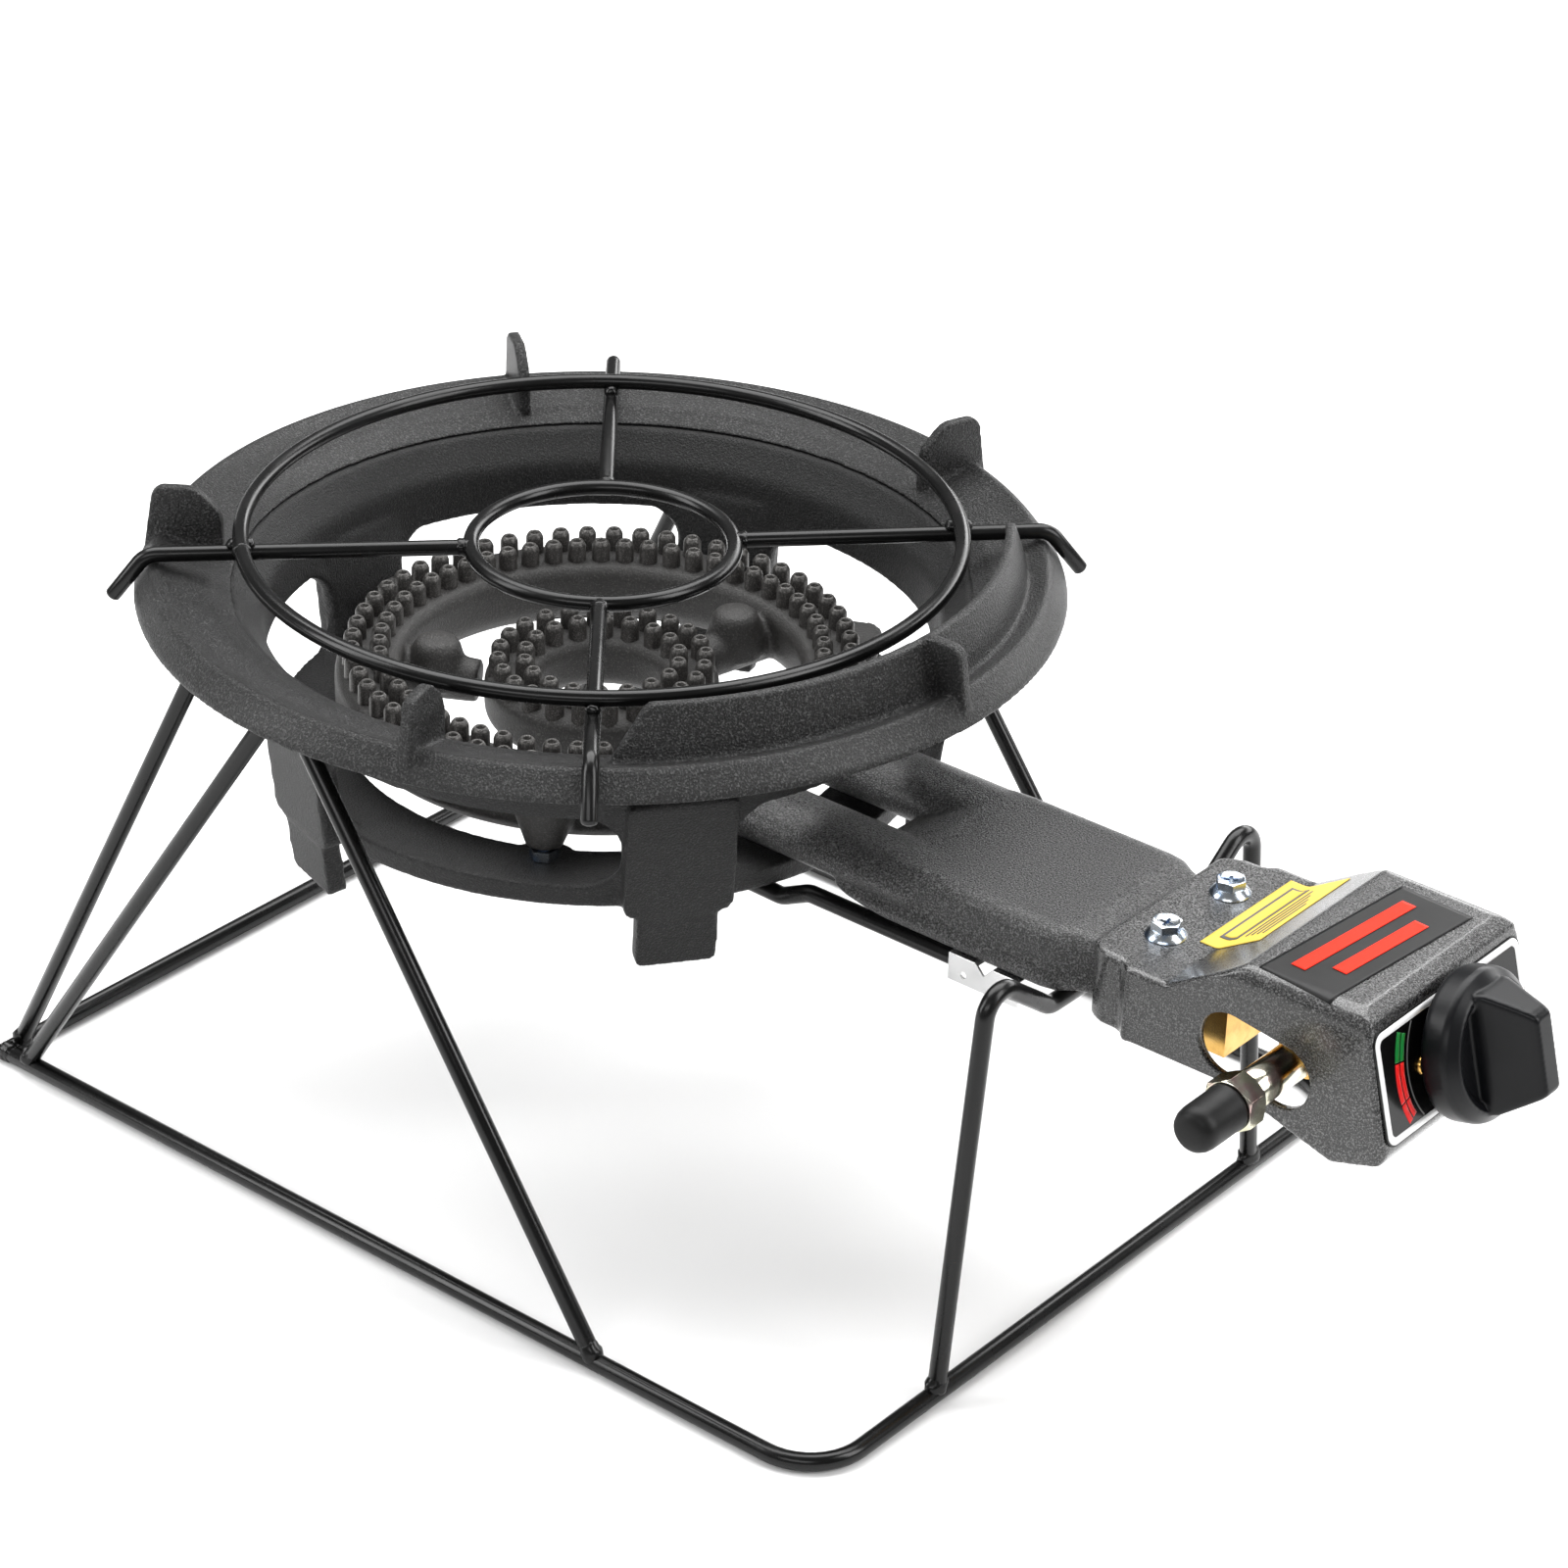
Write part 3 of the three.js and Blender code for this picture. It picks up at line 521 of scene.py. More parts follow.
def make_cast_skin():
    """Sand-cast or hammered paint: grains, light flecks that are partly the grain's own tone and partly
    painted glints, and slow patches.
    """
    group = new_group(
        "cast_skin",
        (
            ("Grain Scale", "NodeSocketFloat", 700.0),
            ("Dark", "NodeSocketColor", (0.02, 0.02, 0.02, 1)),
            ("Light", "NodeSocketColor", (0.2, 0.2, 0.2, 1)),
            ("Fleck Start", "NodeSocketFloat", 0.56),
            ("Fleck End", "NodeSocketFloat", 0.72),
            ("Smooth Roughness", "NodeSocketFloat", 0.4),
            ("Coarse Roughness", "NodeSocketFloat", 0.6),
        ),
        SURFACE,
    )
    start = add_node(group, "NodeGroupInput")
    grain = texture(group, "ShaderNodeTexNoise", start.outputs["Grain Scale"])
    grain.inputs["Detail"].default_value = 3.0
    grain.inputs["Roughness"].default_value = 0.6
    pebble = texture(group, "ShaderNodeTexVoronoi", start.outputs["Grain Scale"], feature="SMOOTH_F1")
    patches = texture(group, "ShaderNodeTexNoise", 14.0)
    # Light flecks where the grain noise peaks: partly the grain's own tone, partly painted glints off the
    # grains.
    grain_and_glint_flecks = remapped(
        group, grain.outputs["Fac"], start.outputs["Fleck Start"], start.outputs["Fleck End"], 0.0, 1.0
    )
    slow = remapped(group, patches.outputs["Fac"], 0.3, 0.7, 0.75, 1.25)
    grain_and_glint_share = maths(group, "MULTIPLY", grain_and_glint_flecks, slow)
    color = mixed(group, grain_and_glint_share, start.outputs["Dark"], start.outputs["Light"])
    pits = maths(group, "MULTIPLY", pebble.outputs["Distance"], 0.45)
    height = maths(group, "SUBTRACT", grain.outputs["Fac"], pits)
    rough = remapped(
        group, grain.outputs["Fac"], 0.3, 0.7,
        start.outputs["Smooth Roughness"], start.outputs["Coarse Roughness"],
    )
    return end_group(group, Color=color, Height=height, Roughness=rough)


def make_coat_wear():
    """Handling marks on a coat or a plating: faint scuffs, cloudy roughness and orange peel."""
    group = new_group(
        "coat_wear",
        (
            ("Clean", "NodeSocketColor", (0.02, 0.02, 0.02, 1)),
            ("Worn", "NodeSocketColor", (0.1, 0.1, 0.1, 1)),
            ("Wear", "NodeSocketFloat", 0.3),
            ("Peel Scale", "NodeSocketFloat", 400.0),
            ("Low Roughness", "NodeSocketFloat", 0.25),
            ("High Roughness", "NodeSocketFloat", 0.45),
        ),
        SURFACE,
    )
    start = add_node(group, "NodeGroupInput")
    cloud = texture(group, "ShaderNodeTexNoise", 45.0)
    cloud.inputs["Detail"].default_value = 5.0
    peel = texture(group, "ShaderNodeTexNoise", start.outputs["Peel Scale"])
    scuff = texture(group, "ShaderNodeTexNoise", 160.0)
    scuff.inputs["Detail"].default_value = 6.0
    scuff.inputs["Distortion"].default_value = 1.5
    marks = remapped(group, scuff.outputs["Fac"], 0.6, 0.78, 0.0, 1.0)
    share = maths(group, "MULTIPLY", marks, start.outputs["Wear"])
    color = mixed(group, share, start.outputs["Clean"], start.outputs["Worn"])
    rough = remapped(
        group, cloud.outputs["Fac"], 0.3, 0.7, start.outputs["Low Roughness"], start.outputs["High Roughness"]
    )
    return end_group(group, Color=color, Height=peel.outputs["Fac"], Roughness=rough)


def make_plating():
    """Passivated zinc or brass: slow drifts between three tints."""
    group = new_group(
        "plating",
        (
            ("First Tint", "NodeSocketColor", (0.6, 0.6, 0.6, 1)),
            ("Second Tint", "NodeSocketColor", (0.6, 0.6, 0.6, 1)),
            ("Third Tint", "NodeSocketColor", (0.6, 0.6, 0.6, 1)),
            ("Drift Scale", "NodeSocketFloat", 60.0),
        ),
        SURFACE[:2],
    )
    start = add_node(group, "NodeGroupInput")
    first = texture(group, "ShaderNodeTexNoise", start.outputs["Drift Scale"])
    second = texture(group, "ShaderNodeTexNoise", maths(group, "MULTIPLY", start.outputs["Drift Scale"], 1.9))
    fine = texture(group, "ShaderNodeTexNoise", 900.0)
    lower = mixed(
        group, remapped(group, first.outputs["Fac"], 0.35, 0.65, 0.0, 1.0),
        start.outputs["First Tint"], start.outputs["Second Tint"],
    )
    color = mixed(
        group, remapped(group, second.outputs["Fac"], 0.5, 0.7, 0.0, 1.0), lower, start.outputs["Third Tint"]
    )
    return end_group(group, Color=color, Height=fine.outputs["Fac"])


CAST_SKIN = make_cast_skin()
COAT_WEAR = make_coat_wear()
PLATING = make_plating()


# ---------------------------------------------------------------- materials
def new_material(
    name, group, values, bump, metallic=0.0, coat=0.0, roughness=None, coat_roughness=0.1, specular=0.5
):
    """A surface whose colour, roughness and relief come from one of the groups."""
    material = bpy.data.materials.new(name)
    material.use_nodes = True
    tree = material.node_tree
    shader = tree.nodes["Principled BSDF"]
    skin = add_node(tree, "ShaderNodeGroup", node_tree=group)
    for label, value in values.items():
        skin.inputs[label].default_value = value
    relief = add_node(tree, "ShaderNodeBump")
    relief.inputs["Strength"].default_value = bump[0]
    relief.inputs["Distance"].default_value = bump[1] * MM
    tree.links.new(skin.outputs["Color"], shader.inputs["Base Color"])
    tree.links.new(skin.outputs["Height"], relief.inputs["Height"])
    tree.links.new(relief.outputs["Normal"], shader.inputs["Normal"])
    if roughness is None:
        tree.links.new(skin.outputs["Roughness"], shader.inputs["Roughness"])
    else:
        shader.inputs["Roughness"].default_value = roughness
    shader.inputs["Metallic"].default_value = metallic
    shader.inputs["Coat Weight"].default_value = coat
    shader.inputs["Specular IOR Level"].default_value = specular
    shader.inputs["Coat Roughness"].default_value = coat_roughness
    material.diffuse_color = values.get("Dark", values.get("Clean", values.get("First Tint")))
    return material


def gray(value, warm=0.0):
    return (value * (1 + warm), value, value * (1 - warm), 1)


def cast_values(scale, dark, light, grain_and_glint_flecks, rough):
    return {
        "Grain Scale": scale,
        "Dark": dark,
        "Light": light,
        "Fleck Start": grain_and_glint_flecks[0],
        "Fleck End": grain_and_glint_flecks[1],
        "Smooth Roughness": rough[0],
        "Coarse Roughness": rough[1],
    }


def coat_values(clean, worn, wear, peel, rough):
    return {
        "Clean": clean,
        "Worn": worn,
        "Wear": wear,
        "Peel Scale": peel,
        "Low Roughness": rough[0],
        "High Roughness": rough[1],
    }


def tints(first, second, third, scale):
    return {"First Tint": first, "Second Tint": second, "Third Tint": third, "Drift Scale": scale}


def make_materials():
    made = {}
    # Each casting's Light colour, laid on in flecks, is partly its grain's own tone and partly painted
    # glints.
    made["pot_ring"] = new_material(
        "grainy_pot_ring", CAST_SKIN,
        cast_values(1250, gray(0.004), gray(0.075), (0.51, 0.66), (0.34, 0.54)), (1.0, 1.2), specular=0.32,
        coat=0.12, coat_roughness=0.3,
    )
    made["frame"] = new_material(
        "black_frame_casting", CAST_SKIN,
        cast_values(1300, gray(0.006), gray(0.035), (0.52, 0.7), (0.4, 0.58)), (0.8, 0.8), specular=0.32,
    )
    made["burner"] = new_material(
        "burner_casting", CAST_SKIN,
        cast_values(1400, gray(0.016, 0.05), gray(0.07, 0.04), (0.52, 0.74), (0.42, 0.6)), (0.6, 0.6),
        specular=0.4,
    )
    made["nozzle"] = new_material(
        "machined_nozzle_iron", CAST_SKIN,
        cast_values(1900, gray(0.04, 0.05), gray(0.14, 0.04), (0.5, 0.7), (0.3, 0.48)), (0.25, 0.3),
        metallic=0.5,
    )
    made["handle"] = new_material(
        "black_hammer_paint", CAST_SKIN,
        cast_values(1500, gray(0.005), gray(0.15), (0.49, 0.65), (0.24, 0.42)), (1.0, 1.3), specular=0.45,
        coat=0.22, coat_roughness=0.3,
    )
    made["housing"] = new_material(
        "silver_hammer_paint", CAST_SKIN,
        cast_values(1600, gray(0.005), gray(0.15), (0.48, 0.66), (0.22, 0.36)), (0.5, 0.6),
        metallic=0.5, coat=0.7, coat_roughness=0.17,
    )
    made["wire"] = new_material(
        "black_wire_coat", COAT_WEAR,
        coat_values(gray(0.003), gray(0.012), 0.35, 260, (0.2, 0.32)), (0.12, 0.3),
        coat=0.1, coat_roughness=0.15, specular=0.25,
    )
    made["plastic"] = new_material(
        "black_knob_plastic", COAT_WEAR,
        coat_values((0.002, 0.0022, 0.003, 1), gray(0.006), 0.25, 1600, (0.3, 0.42)), (0.1, 0.1),
        specular=0.22,
    )
    made["rubber"] = new_material(
        "black_cap_rubber", COAT_WEAR,
        coat_values(gray(0.003), gray(0.008), 0.5, 900, (0.4, 0.55)), (0.15, 0.15), specular=0.22,
    )
    made["panel"] = new_material(
        "black_panel_print", COAT_WEAR,
        coat_values(gray(0.002), gray(0.006), 0.2, 120, (0.12, 0.22)), (0.03, 0.1),
        coat=0.1, coat_roughness=0.08, specular=0.2,
    )
    # Each printed ink: clean colour, worn colour, wear, roughness, specular.
    inks = {
        "white_print": (gray(0.78), gray(0.62), 0.3, (0.3, 0.42), 0.5),
        "green_print": ((0.004, 0.15, 0.025, 1), (0.01, 0.11, 0.02, 1), 0.3, (0.25, 0.35), 0.2),
        "red_print": ((0.6, 0.006, 0.006, 1), (0.45, 0.01, 0.01, 1), 0.3, (0.25, 0.35), 0.2),
        "orange_print": ((0.8, 0.022, 0.006, 1), (0.66, 0.025, 0.008, 1), 0.3, (0.35, 0.45), 0.1),
        "gray_print": (gray(0.1), gray(0.18), 0.4, (0.4, 0.5), 0.2),
    }
    for name, (clean, worn, wear, rough, specular) in inks.items():
        values = coat_values(clean, worn, wear, 200, rough)
        made[name] = new_material(name, COAT_WEAR, values, (0.03, 0.1), specular=specular)
    made["black_label"] = new_material(
        "black_label_film", COAT_WEAR,
        coat_values(gray(0.006), gray(0.015), 0.5, 90, (0.32, 0.44)), (0.1, 0.3), specular=0.22,
    )
    made["yellow_label"] = new_material(
        "yellow_label_film", COAT_WEAR,
        coat_values((0.62, 0.44, 0.075, 1), (0.5, 0.36, 0.07, 1), 0.4, 90, (0.45, 0.55)), (0.1, 0.3),
        specular=0.15,
    )
    made["zinc"] = new_material(
        "blue_zinc", PLATING,
        tints((0.45, 0.5, 0.56, 1), (0.55, 0.58, 0.6, 1), (0.3, 0.42, 0.62, 1), 90), (0.12, 0.15),
        metallic=1.0, roughness=0.22,
    )
    made["yellow_zinc"] = new_material(
        "yellow_zinc", PLATING,
        tints((0.6, 0.58, 0.42, 1), (0.72, 0.7, 0.6, 1), (0.6, 0.42, 0.4, 1), 75), (0.12, 0.15),
        metallic=1.0, roughness=0.16,
    )
    made["brass"] = new_material(
        "machined_brass", PLATING,
        tints((0.58, 0.34, 0.09, 1), (0.66, 0.42, 0.14, 1), (0.44, 0.24, 0.06, 1), 80), (0.1, 0.12),
        metallic=1.0, roughness=0.22,
    )
    made["steel"] = new_material(
        "bright_pressed_steel", PLATING,
        tints(gray(0.6), gray(0.68), gray(0.52), 50), (0.08, 0.1), metallic=1.0, roughness=0.26,
    )
    return made


LOOK = make_materials()


def dress(piece, look):
    piece.data.materials.clear()
    piece.data.materials.append(LOOK[look])
    return piece


def finish_piece(piece, body, look, stands_for=()):
    """Gives a new piece its material, the body it moves with and the nodes it stands for."""
    dress(piece, look)
    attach(piece, body)
    if stands_for:
        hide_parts(*stands_for)
    return piece


# ---------------------------------------------------------------- wire stand
WIRE = 3.5
BASE = {"rear": -171.0, "front": 252.0, "side": 168.0, "bend": 24.0}
STAND_RING = {"radius": 164.0, "height": 211.5}


def build_stand():
    rear = BASE["rear"]
    front = BASE["front"]
    side = BASE["side"]
    hoop = wire(
        "stand_base_hoop",
        ((rear + 1, -side, WIRE), (front, -side, WIRE), (front, side, WIRE), (rear + 1, side, WIRE)),
        WIRE, BASE["bend"],
    )
    finish_piece(hoop, "stand", "wire", ("base_hoop",))
    rail = wire("stand_rear_rail", ((rear, -side - 2, WIRE), (rear, side + 2, WIRE)), WIRE)
    finish_piece(rail, "stand", "wire", ("base_rear_rail",))
    ring = wire_ring("stand_ring", STAND_RING["radius"], STAND_RING["height"], WIRE)
    finish_piece(ring, "stand", "wire", ("stand_top_ring",))
    kinds = {
        "corner_strut": ((rear, 160.0), 114.0),
        "rear_strut": ((-158.0, side), 96.0),
        "front_strut": ((147.0, side), 91.0),
    }
    seed = 1
    for label, sign in (("right", -1), ("left", 1)):
        for kind, (start, angle) in kinds.items():
            low = Vector((start[0], sign * start[1], WIRE))
            high = on_circle(STAND_RING["radius"], sign * angle, STAND_RING["height"])
            slope = (high - low).normalized()
            strut = wire(f"stand_{kind}_{label}", (low + slope * 1.5, high - slope * 2.0), WIRE)
            finish_piece(strut, "stand", "wire", (f"{kind}_{label}",))
            low_end = low + slope * 3.6 + Vector((0, 0, 0.4))
            high_end = high - slope * 4.0
            add_weld("stand", f"weld_foot_{kind}_{label}", low_end, slope, (4.2, 4.0, 5.6), seed)
            add_weld("stand", f"weld_top_{kind}_{label}", high_end, slope, (4.1, 4.1, 4.6), seed + 3)
            seed += 7
    foot = 100.0
    corners = (
        (front, -foot, WIRE + 2), (front, -81, 170.5), (front, -44, 143.2),
        (front, 44, 143.2), (front, 81, 170.5), (front, foot, WIRE + 2),
    )
    cradle = wire("handle_rest", corners, WIRE, 9)
    finish_piece(cradle, "stand", "wire", ("handle_cradle",))
    for label, sign in (("right", -1), ("left", 1)):
        at = (front, sign * foot, 7.2)
        add_weld("stand", f"weld_cradle_{label}", at, (0, -sign * 0.14, 1), (4.0, 5.4, 4.6), seed)
        at = (rear + 2, sign * side, 3.9)
        add_weld("stand", f"weld_corner_{label}", at, (1, 0, 0), (3.9, 4.3, 4.4), seed + 5)
        seed += 11


# ---------------------------------------------------------------- pot grate
GRATE_WIRE = 3.1
GRATE = {"large": 138.5, "small": 50.8, "height": 227.0, "tip": (187.5, 210.5), "bend_at": 174.5}
GRATE_BARS = {"front": -50.0, "right": 46.5, "back": 130.0, "left": -134.5}


def build_grate():
    high = GRATE["height"] + 2 * GRATE_WIRE + 0.3
    large = wire_ring("grate_large_ring", GRATE["large"], high, GRATE_WIRE, 176)
    finish_piece(large, "grate", "wire", ("grate_outer_ring",))
    small = wire_ring("grate_small_ring", GRATE["small"], GRATE["height"], GRATE_WIRE, 96)
    finish_piece(small, "grate", "wire", ("grate_inner_ring",))
    for k, (label, angle) in enumerate(GRATE_BARS.items()):
        corners = (
            on_circle(GRATE["small"] + 1.5, angle, GRATE["height"]),
            on_circle(GRATE["bend_at"], angle, GRATE["height"]),
            on_circle(GRATE["tip"][0], angle, GRATE["tip"][1]),
        )
        bar = wire(f"grate_spoke_{label}", corners, GRATE_WIRE, 9)
        finish_piece(bar, "grate", "wire", (f"grate_bar_{label}",))
        outward = on_circle(1, angle, 0)
        middle = on_circle(GRATE["large"], angle, GRATE["height"] + GRATE_WIRE + 0.2)
        for side, shift in (("in", -2.6), ("out", 2.6)):
            at = middle + outward * shift
            add_weld("grate", f"weld_spoke_{label}_{side}", at, outward, (3.0, 2.6, 2.9), 3 * k + shift)
        inner = on_circle(GRATE["small"] + 3.6, angle, GRATE["height"])
        add_weld("grate", f"weld_hub_{label}", inner, outward, (3.6, 3.4, 3.0), 5 * k + 2)
    seam = on_circle(GRATE["large"], GRATE_BARS["left"] + 5, high)
    along = on_circle(1, GRATE_BARS["left"] + 95, 0)
    add_weld("grate", "weld_ring_seam", seam, along, (3.5, 3.5, 2.2), 4)


# ---------------------------------------------------------------- pot ring
FINS = 5
SHIELD = {"start": -47.5, "end": 44.0, "slope": 4.6, "low": 219.0, "high": 241.0}
BRIM = (
    (180, 212.3, 0.5), (179.2, 215, 1.5), (173.4, 222.6, 1.6), (171, 223.6, 1.2), (168.6, 222.2, 1.5),
    (164.5, 220.6, 1.5), (151, 217, 1), (149.5, 216, 1), (141.5, 212.3, 0.6), (156, 212.3, 1),
    (158, 215.3, 1), (171, 215.3, 1.5), (177, 212.3, 0.5),
)
FIN = (
    (178.6, 214.0, 0.5), (174.4, 240.5, 2), (171, 243, 2.5), (158, 243, 4), (147.5, 233, 5),
    (147, 216.2, 0.5), (171, 216.2, 0.5),
)


def shield_wall():
    """The raised wind wall on the handle's side: thin, leaning inward, its ends sloping down."""
    points = []
    faces = []
    steps = 90
    for k in range(steps + 1):
        share = k / steps
        angle = SHIELD["start"] + (SHIELD["end"] - SHIELD["start"]) * share
        near_end = min(angle - SHIELD["start"], SHIELD["end"] - angle)
        rise = min(1.0, near_end / SHIELD["slope"])
        top = SHIELD["low"] + 3 + (SHIELD["high"] - SHIELD["low"] - 3) * rise
        lean = (top - SHIELD["low"]) / (SHIELD["high"] - SHIELD["low"])
        section = (
            (164.5, SHIELD["low"] - 1),
            (164.5 - 6.5 * lean, top),
            (160.3 - 6.3 * lean, top),
            (160.3, SHIELD["low"] - 2),
        )
        for radius, height in section:
            points.append(on_circle(radius, angle, height))
    for k in range(steps):
        this = 4 * k
        for r in range(4):
            up = (r + 1) % 4
            faces.append((this + r, this + 4 + r, this + 4 + up, this + up))
    faces.append((0, 1, 2, 3))
    last = 4 * steps
    faces.append((last + 3, last + 2, last + 1, last))
    return mesh_piece("wall", points, faces)


def build_pot_ring():
    parts = [turned("brim", softened(BRIM, 1), 240), shield_wall()]
    outline = softened(FIN, 1)
    for k in range(FINS):
        place = about(360 / FINS * k) @ SIDEWAYS
        parts.append(prism("fin", outline, -2.4, 2.4, place))
    ring = cast("pot_support_ring", parts, 0.95, 3)
    finish_piece(ring, "stove", "pot_ring", ("pot_ring",))


# ---------------------------------------------------------------- frame casting
BAND = (
    (154, 212, 0.8), (154, 208.6, 0.8), (142, 208.6, 1.5), (138, 203, 2), (135, 181, 0.5),
    (130.5, 181, 0.5), (131, 200, 3), (141, 212, 1),
)
SKIRT = ((135, 184), (130.5, 184), (123.6, 146), (128.2, 146))
LOWER_RING = (
    (128, 140, 1), (128.4, 148.2, 1), (127.4, 149, 0.8), (100, 149, 1.5), (100, 143.5, 1.5),
    (124, 143.5, 1), (124, 140, 0.8),
)
LEG_LEAN = math.radians(7)
LEGS = 5
LUG_CIRCLE = 108.0
LUG_ANGLES = (-60, 60, 180)


def build_frame():
    skirt = turned("skirt", SKIRT, 180)
    windows = []
    for k in range(LEGS):
        outline = rounded_box(118, 33, 15.5, 165.6)
        windows.append(prism("window", outline, 90, 160, about(360 / LEGS * k) @ OUTWARD))
    cut(skirt, windows)
    parts = [skirt, turned("band", softened(BAND, 1), 200), turned("lower", softened(LOWER_RING, 1), 180)]
    hinge = Matrix.Translation((132, 0, 165))
    lean = hinge @ Matrix.Rotation(LEG_LEAN, 4, "Y") @ hinge.inverted()
    for k in range(LEGS):
        place = about(360 / LEGS * (k + 0.5)) @ lean @ OUTWARD
        wide = softened(((-21, 138, 5), (21, 138, 5), (21, 189, 3), (-21, 189, 3)), 4)
        parts.append(prism("leg", wide, 126, 135.8, place))
        narrow = softened(((-15.5, 114.5, 3), (15.5, 114.5, 3), (15.5, 160, 2), (-15.5, 160, 2)), 3)
        parts.append(prism("foot", narrow, 127, 134.8, place))
    for angle in LUG_ANGLES:
        low = on_circle(LUG_CIRCLE, angle, 143.4)
        parts.append(rod("lobe", low, on_circle(LUG_CIRCLE, angle, 149), 13))
    casting = cast("leg_frame", parts, 1.25, 4)
    finish_piece(casting, "stove", "frame", ("frame_casting",))


# ---------------------------------------------------------------- burners
NOZZLE = {"height": 9.0, "radius": 3.7, "bore": 1.5}
OUTER_BODY = (
    (98, 153, 3), (104, 160, 3), (104, 175, 2), (101, 178, 1.5), (81, 178, 1.5), (78, 174.5, 2),
    (78, 160, 3), (83, 153, 3),
)
INNER_BODY = (
    (39, 150, 3), (46, 156, 3), (46, 169.5, 2), (43.5, 172, 1), (26.5, 172, 1), (24, 169, 2),
    (24, 156, 3), (30, 150, 3),
)


def nozzle_rows(name, rows, base):
    """Rings of short gas nozzles, each a stub with a chamfered mouth and a bore."""
    height = NOZZLE["height"]
    radius = NOZZLE["radius"]
    bore = NOZZLE["bore"]
    outline = (
        (radius + 0.5, -1.0), (radius, 0.6), (radius - 0.1, height - 2.2), (radius - 0.5, height - 1.2),
        (bore + 0.9, height - 0.1), (bore + 0.4, height), (bore, height - 0.5), (bore, height - 6.5),
        (0.2, height - 7.0),
    )
    segments = 16
    points = []
    faces = []
    for ring_radius, count, start in rows:
        for n in range(count):
            middle = on_circle(ring_radius, start + 360 * n / count, base)
            first = len(points)
            for reach, up in outline:
                for s in range(segments):
                    angle = 2 * math.pi * s / segments
                    offset = Vector((reach * math.cos(angle), reach * math.sin(angle), up))
                    points.append(middle + offset)
            for r in range(len(outline) - 1):
                for s in range(segments):
                    j = (s + 1) % segments
                    low = first + r * segments
                    high = low + segments
                    faces.append((low + s, low + j, high + j, high + s))
            faces.append(tuple(range(len(points) - segments, len(points))))
    mesh = bpy.data.meshes.new(name)
    mesh.from_pydata([in_frame(point) for point in points], [], faces)
    mesh.shade_smooth()
    return new_piece(name, mesh)


def build_burners():
    parts = [turned("ring", softened(OUTER_BODY, 2), 200)]
    for angle in LUG_ANGLES:
        low = on_circle(LUG_CIRCLE, angle, 153.6)
        parts.append(rod("lug", low, on_circle(LUG_CIRCLE - 4, angle, 170), 6.6, 13.5))
    for angle in (78, -150):
        turn = about(angle)
        parts.append(rod("arm", turn @ Vector((49, 0, 162)), turn @ Vector((84, 0, 164)), 8.5, 10))
        dome = ((0, 160), (12, 160), (11.5, 168), (9.4, 176.5), (7.4, 179), (0, 180.2))
        place = turn @ Matrix.Translation((66, 0, 0))
        parts.append(capped_turn("cap", dome, 48, place))
    outer = cast("outer_ring_burner", parts, 1.15, 4)
    finish_piece(outer, "stove", "burner", ("outer_burner",))
    rows = ((97.2, 56, 0.0), (86.6, 56, 180 / 56))
    jets = nozzle_rows("outer_ring_nozzles", rows, 177.6)
    finish_piece(jets, "stove", "nozzle")
    parts = [
        turned("ring", softened(INNER_BODY, 2), 120),
        rod("duct", (36, 19, 159), (79, 24, 159), 9),
    ]
    inner = cast("inner_ring_burner", parts, 1.0, 4)
    finish_piece(inner, "stove", "burner", ("inner_burner",))
    rows = ((40.6, 24, 0.0), (30.4, 18, 10.0))
    jets = nozzle_rows("inner_ring_nozzles", rows, 171.6)
    finish_piece(jets, "stove", "nozzle")


# ---------------------------------------------------------------- handle
TUBE = {"side": 26.0, "height": 160.3, "wide": 17.0, "tall": 10.0}
# The handle's body from the burner to inside the cover: distance, half width, underside, top.
HANDLE_STATIONS = (
    (150, 41.0, 152.0, 160.0), (156, 42.5, 150.0, 163.0), (165, 43.0, 148.3, 167.2),
    (174, 43.0, 147.2, 169.4), (184, 43.0, 147.0, 170.0), (246, 43.0, 147.0, 170.0),
    (252, 42.0, 147.3, 169.8), (257, 39.0, 148.0, 169.2), (262, 37.2, 148.6, 168.6),
    (270, 37.0, 148.8, 168.4), (296, 37.0, 148.8, 168.4),
)


def mixing_tube(sign):
    outline = []
    for k in range(40):
        angle = 2 * math.pi * k / 40
        outline.append((
            sign * TUBE["side"] + TUBE["wide"] * math.cos(angle),
            TUBE["height"] + TUBE["tall"] * math.sin(angle),
        ))
    return prism("tube", outline, 84, 185, OUTWARD)


def handle_section(half, low, high):
    """The body's outline: a round-shouldered top on a slightly wider lower rim."""
    tall = high - low
    rim = low + tall * 0.26
    shoulder = min(11.0, tall * 0.48)
    outline = (
        (-half + 1, low, 2), (half - 1, low, 2), (half, rim - 1, 1.2), (half - 2.0, rim + 0.6, 1.2),
        (half - 2.6, high, shoulder), (-half + 2.6, high, shoulder), (-half + 2.0, rim + 0.6, 1.2),
        (-half, rim - 1, 1.2),
    )
    return softened(outline, 1, 5)


def build_handle():
    sections = [(x, handle_section(half, low, high)) for x, half, low, high in HANDLE_STATIONS]
    parts = [lofted("body", sections, OUTWARD), mixing_tube(-1), mixing_tube(1)]
    handle = cast("mixing_tube_handle_casting", parts, 1.0, 5)
    bores = []
    for sign in (-1, 1):
        bores.append(rod("bore", (270, sign * TUBE["side"], 158.5), (310, sign * TUBE["side"], 158.5), 7.4))
    cut(handle, bores)
    finish_piece(handle, "stove", "handle", ("mixing_tube_handle",))
    route = ((60, -36, 168), (60, -36, 135.5), (124, -38, 135.5), (137, -38, 141.8), (205.5, -38, 141.8))
    pilot = wire("pilot_gas_tube", route, 3.5, 9)
    finish_piece(pilot, "stove", "wire", ("pilot_tube",))


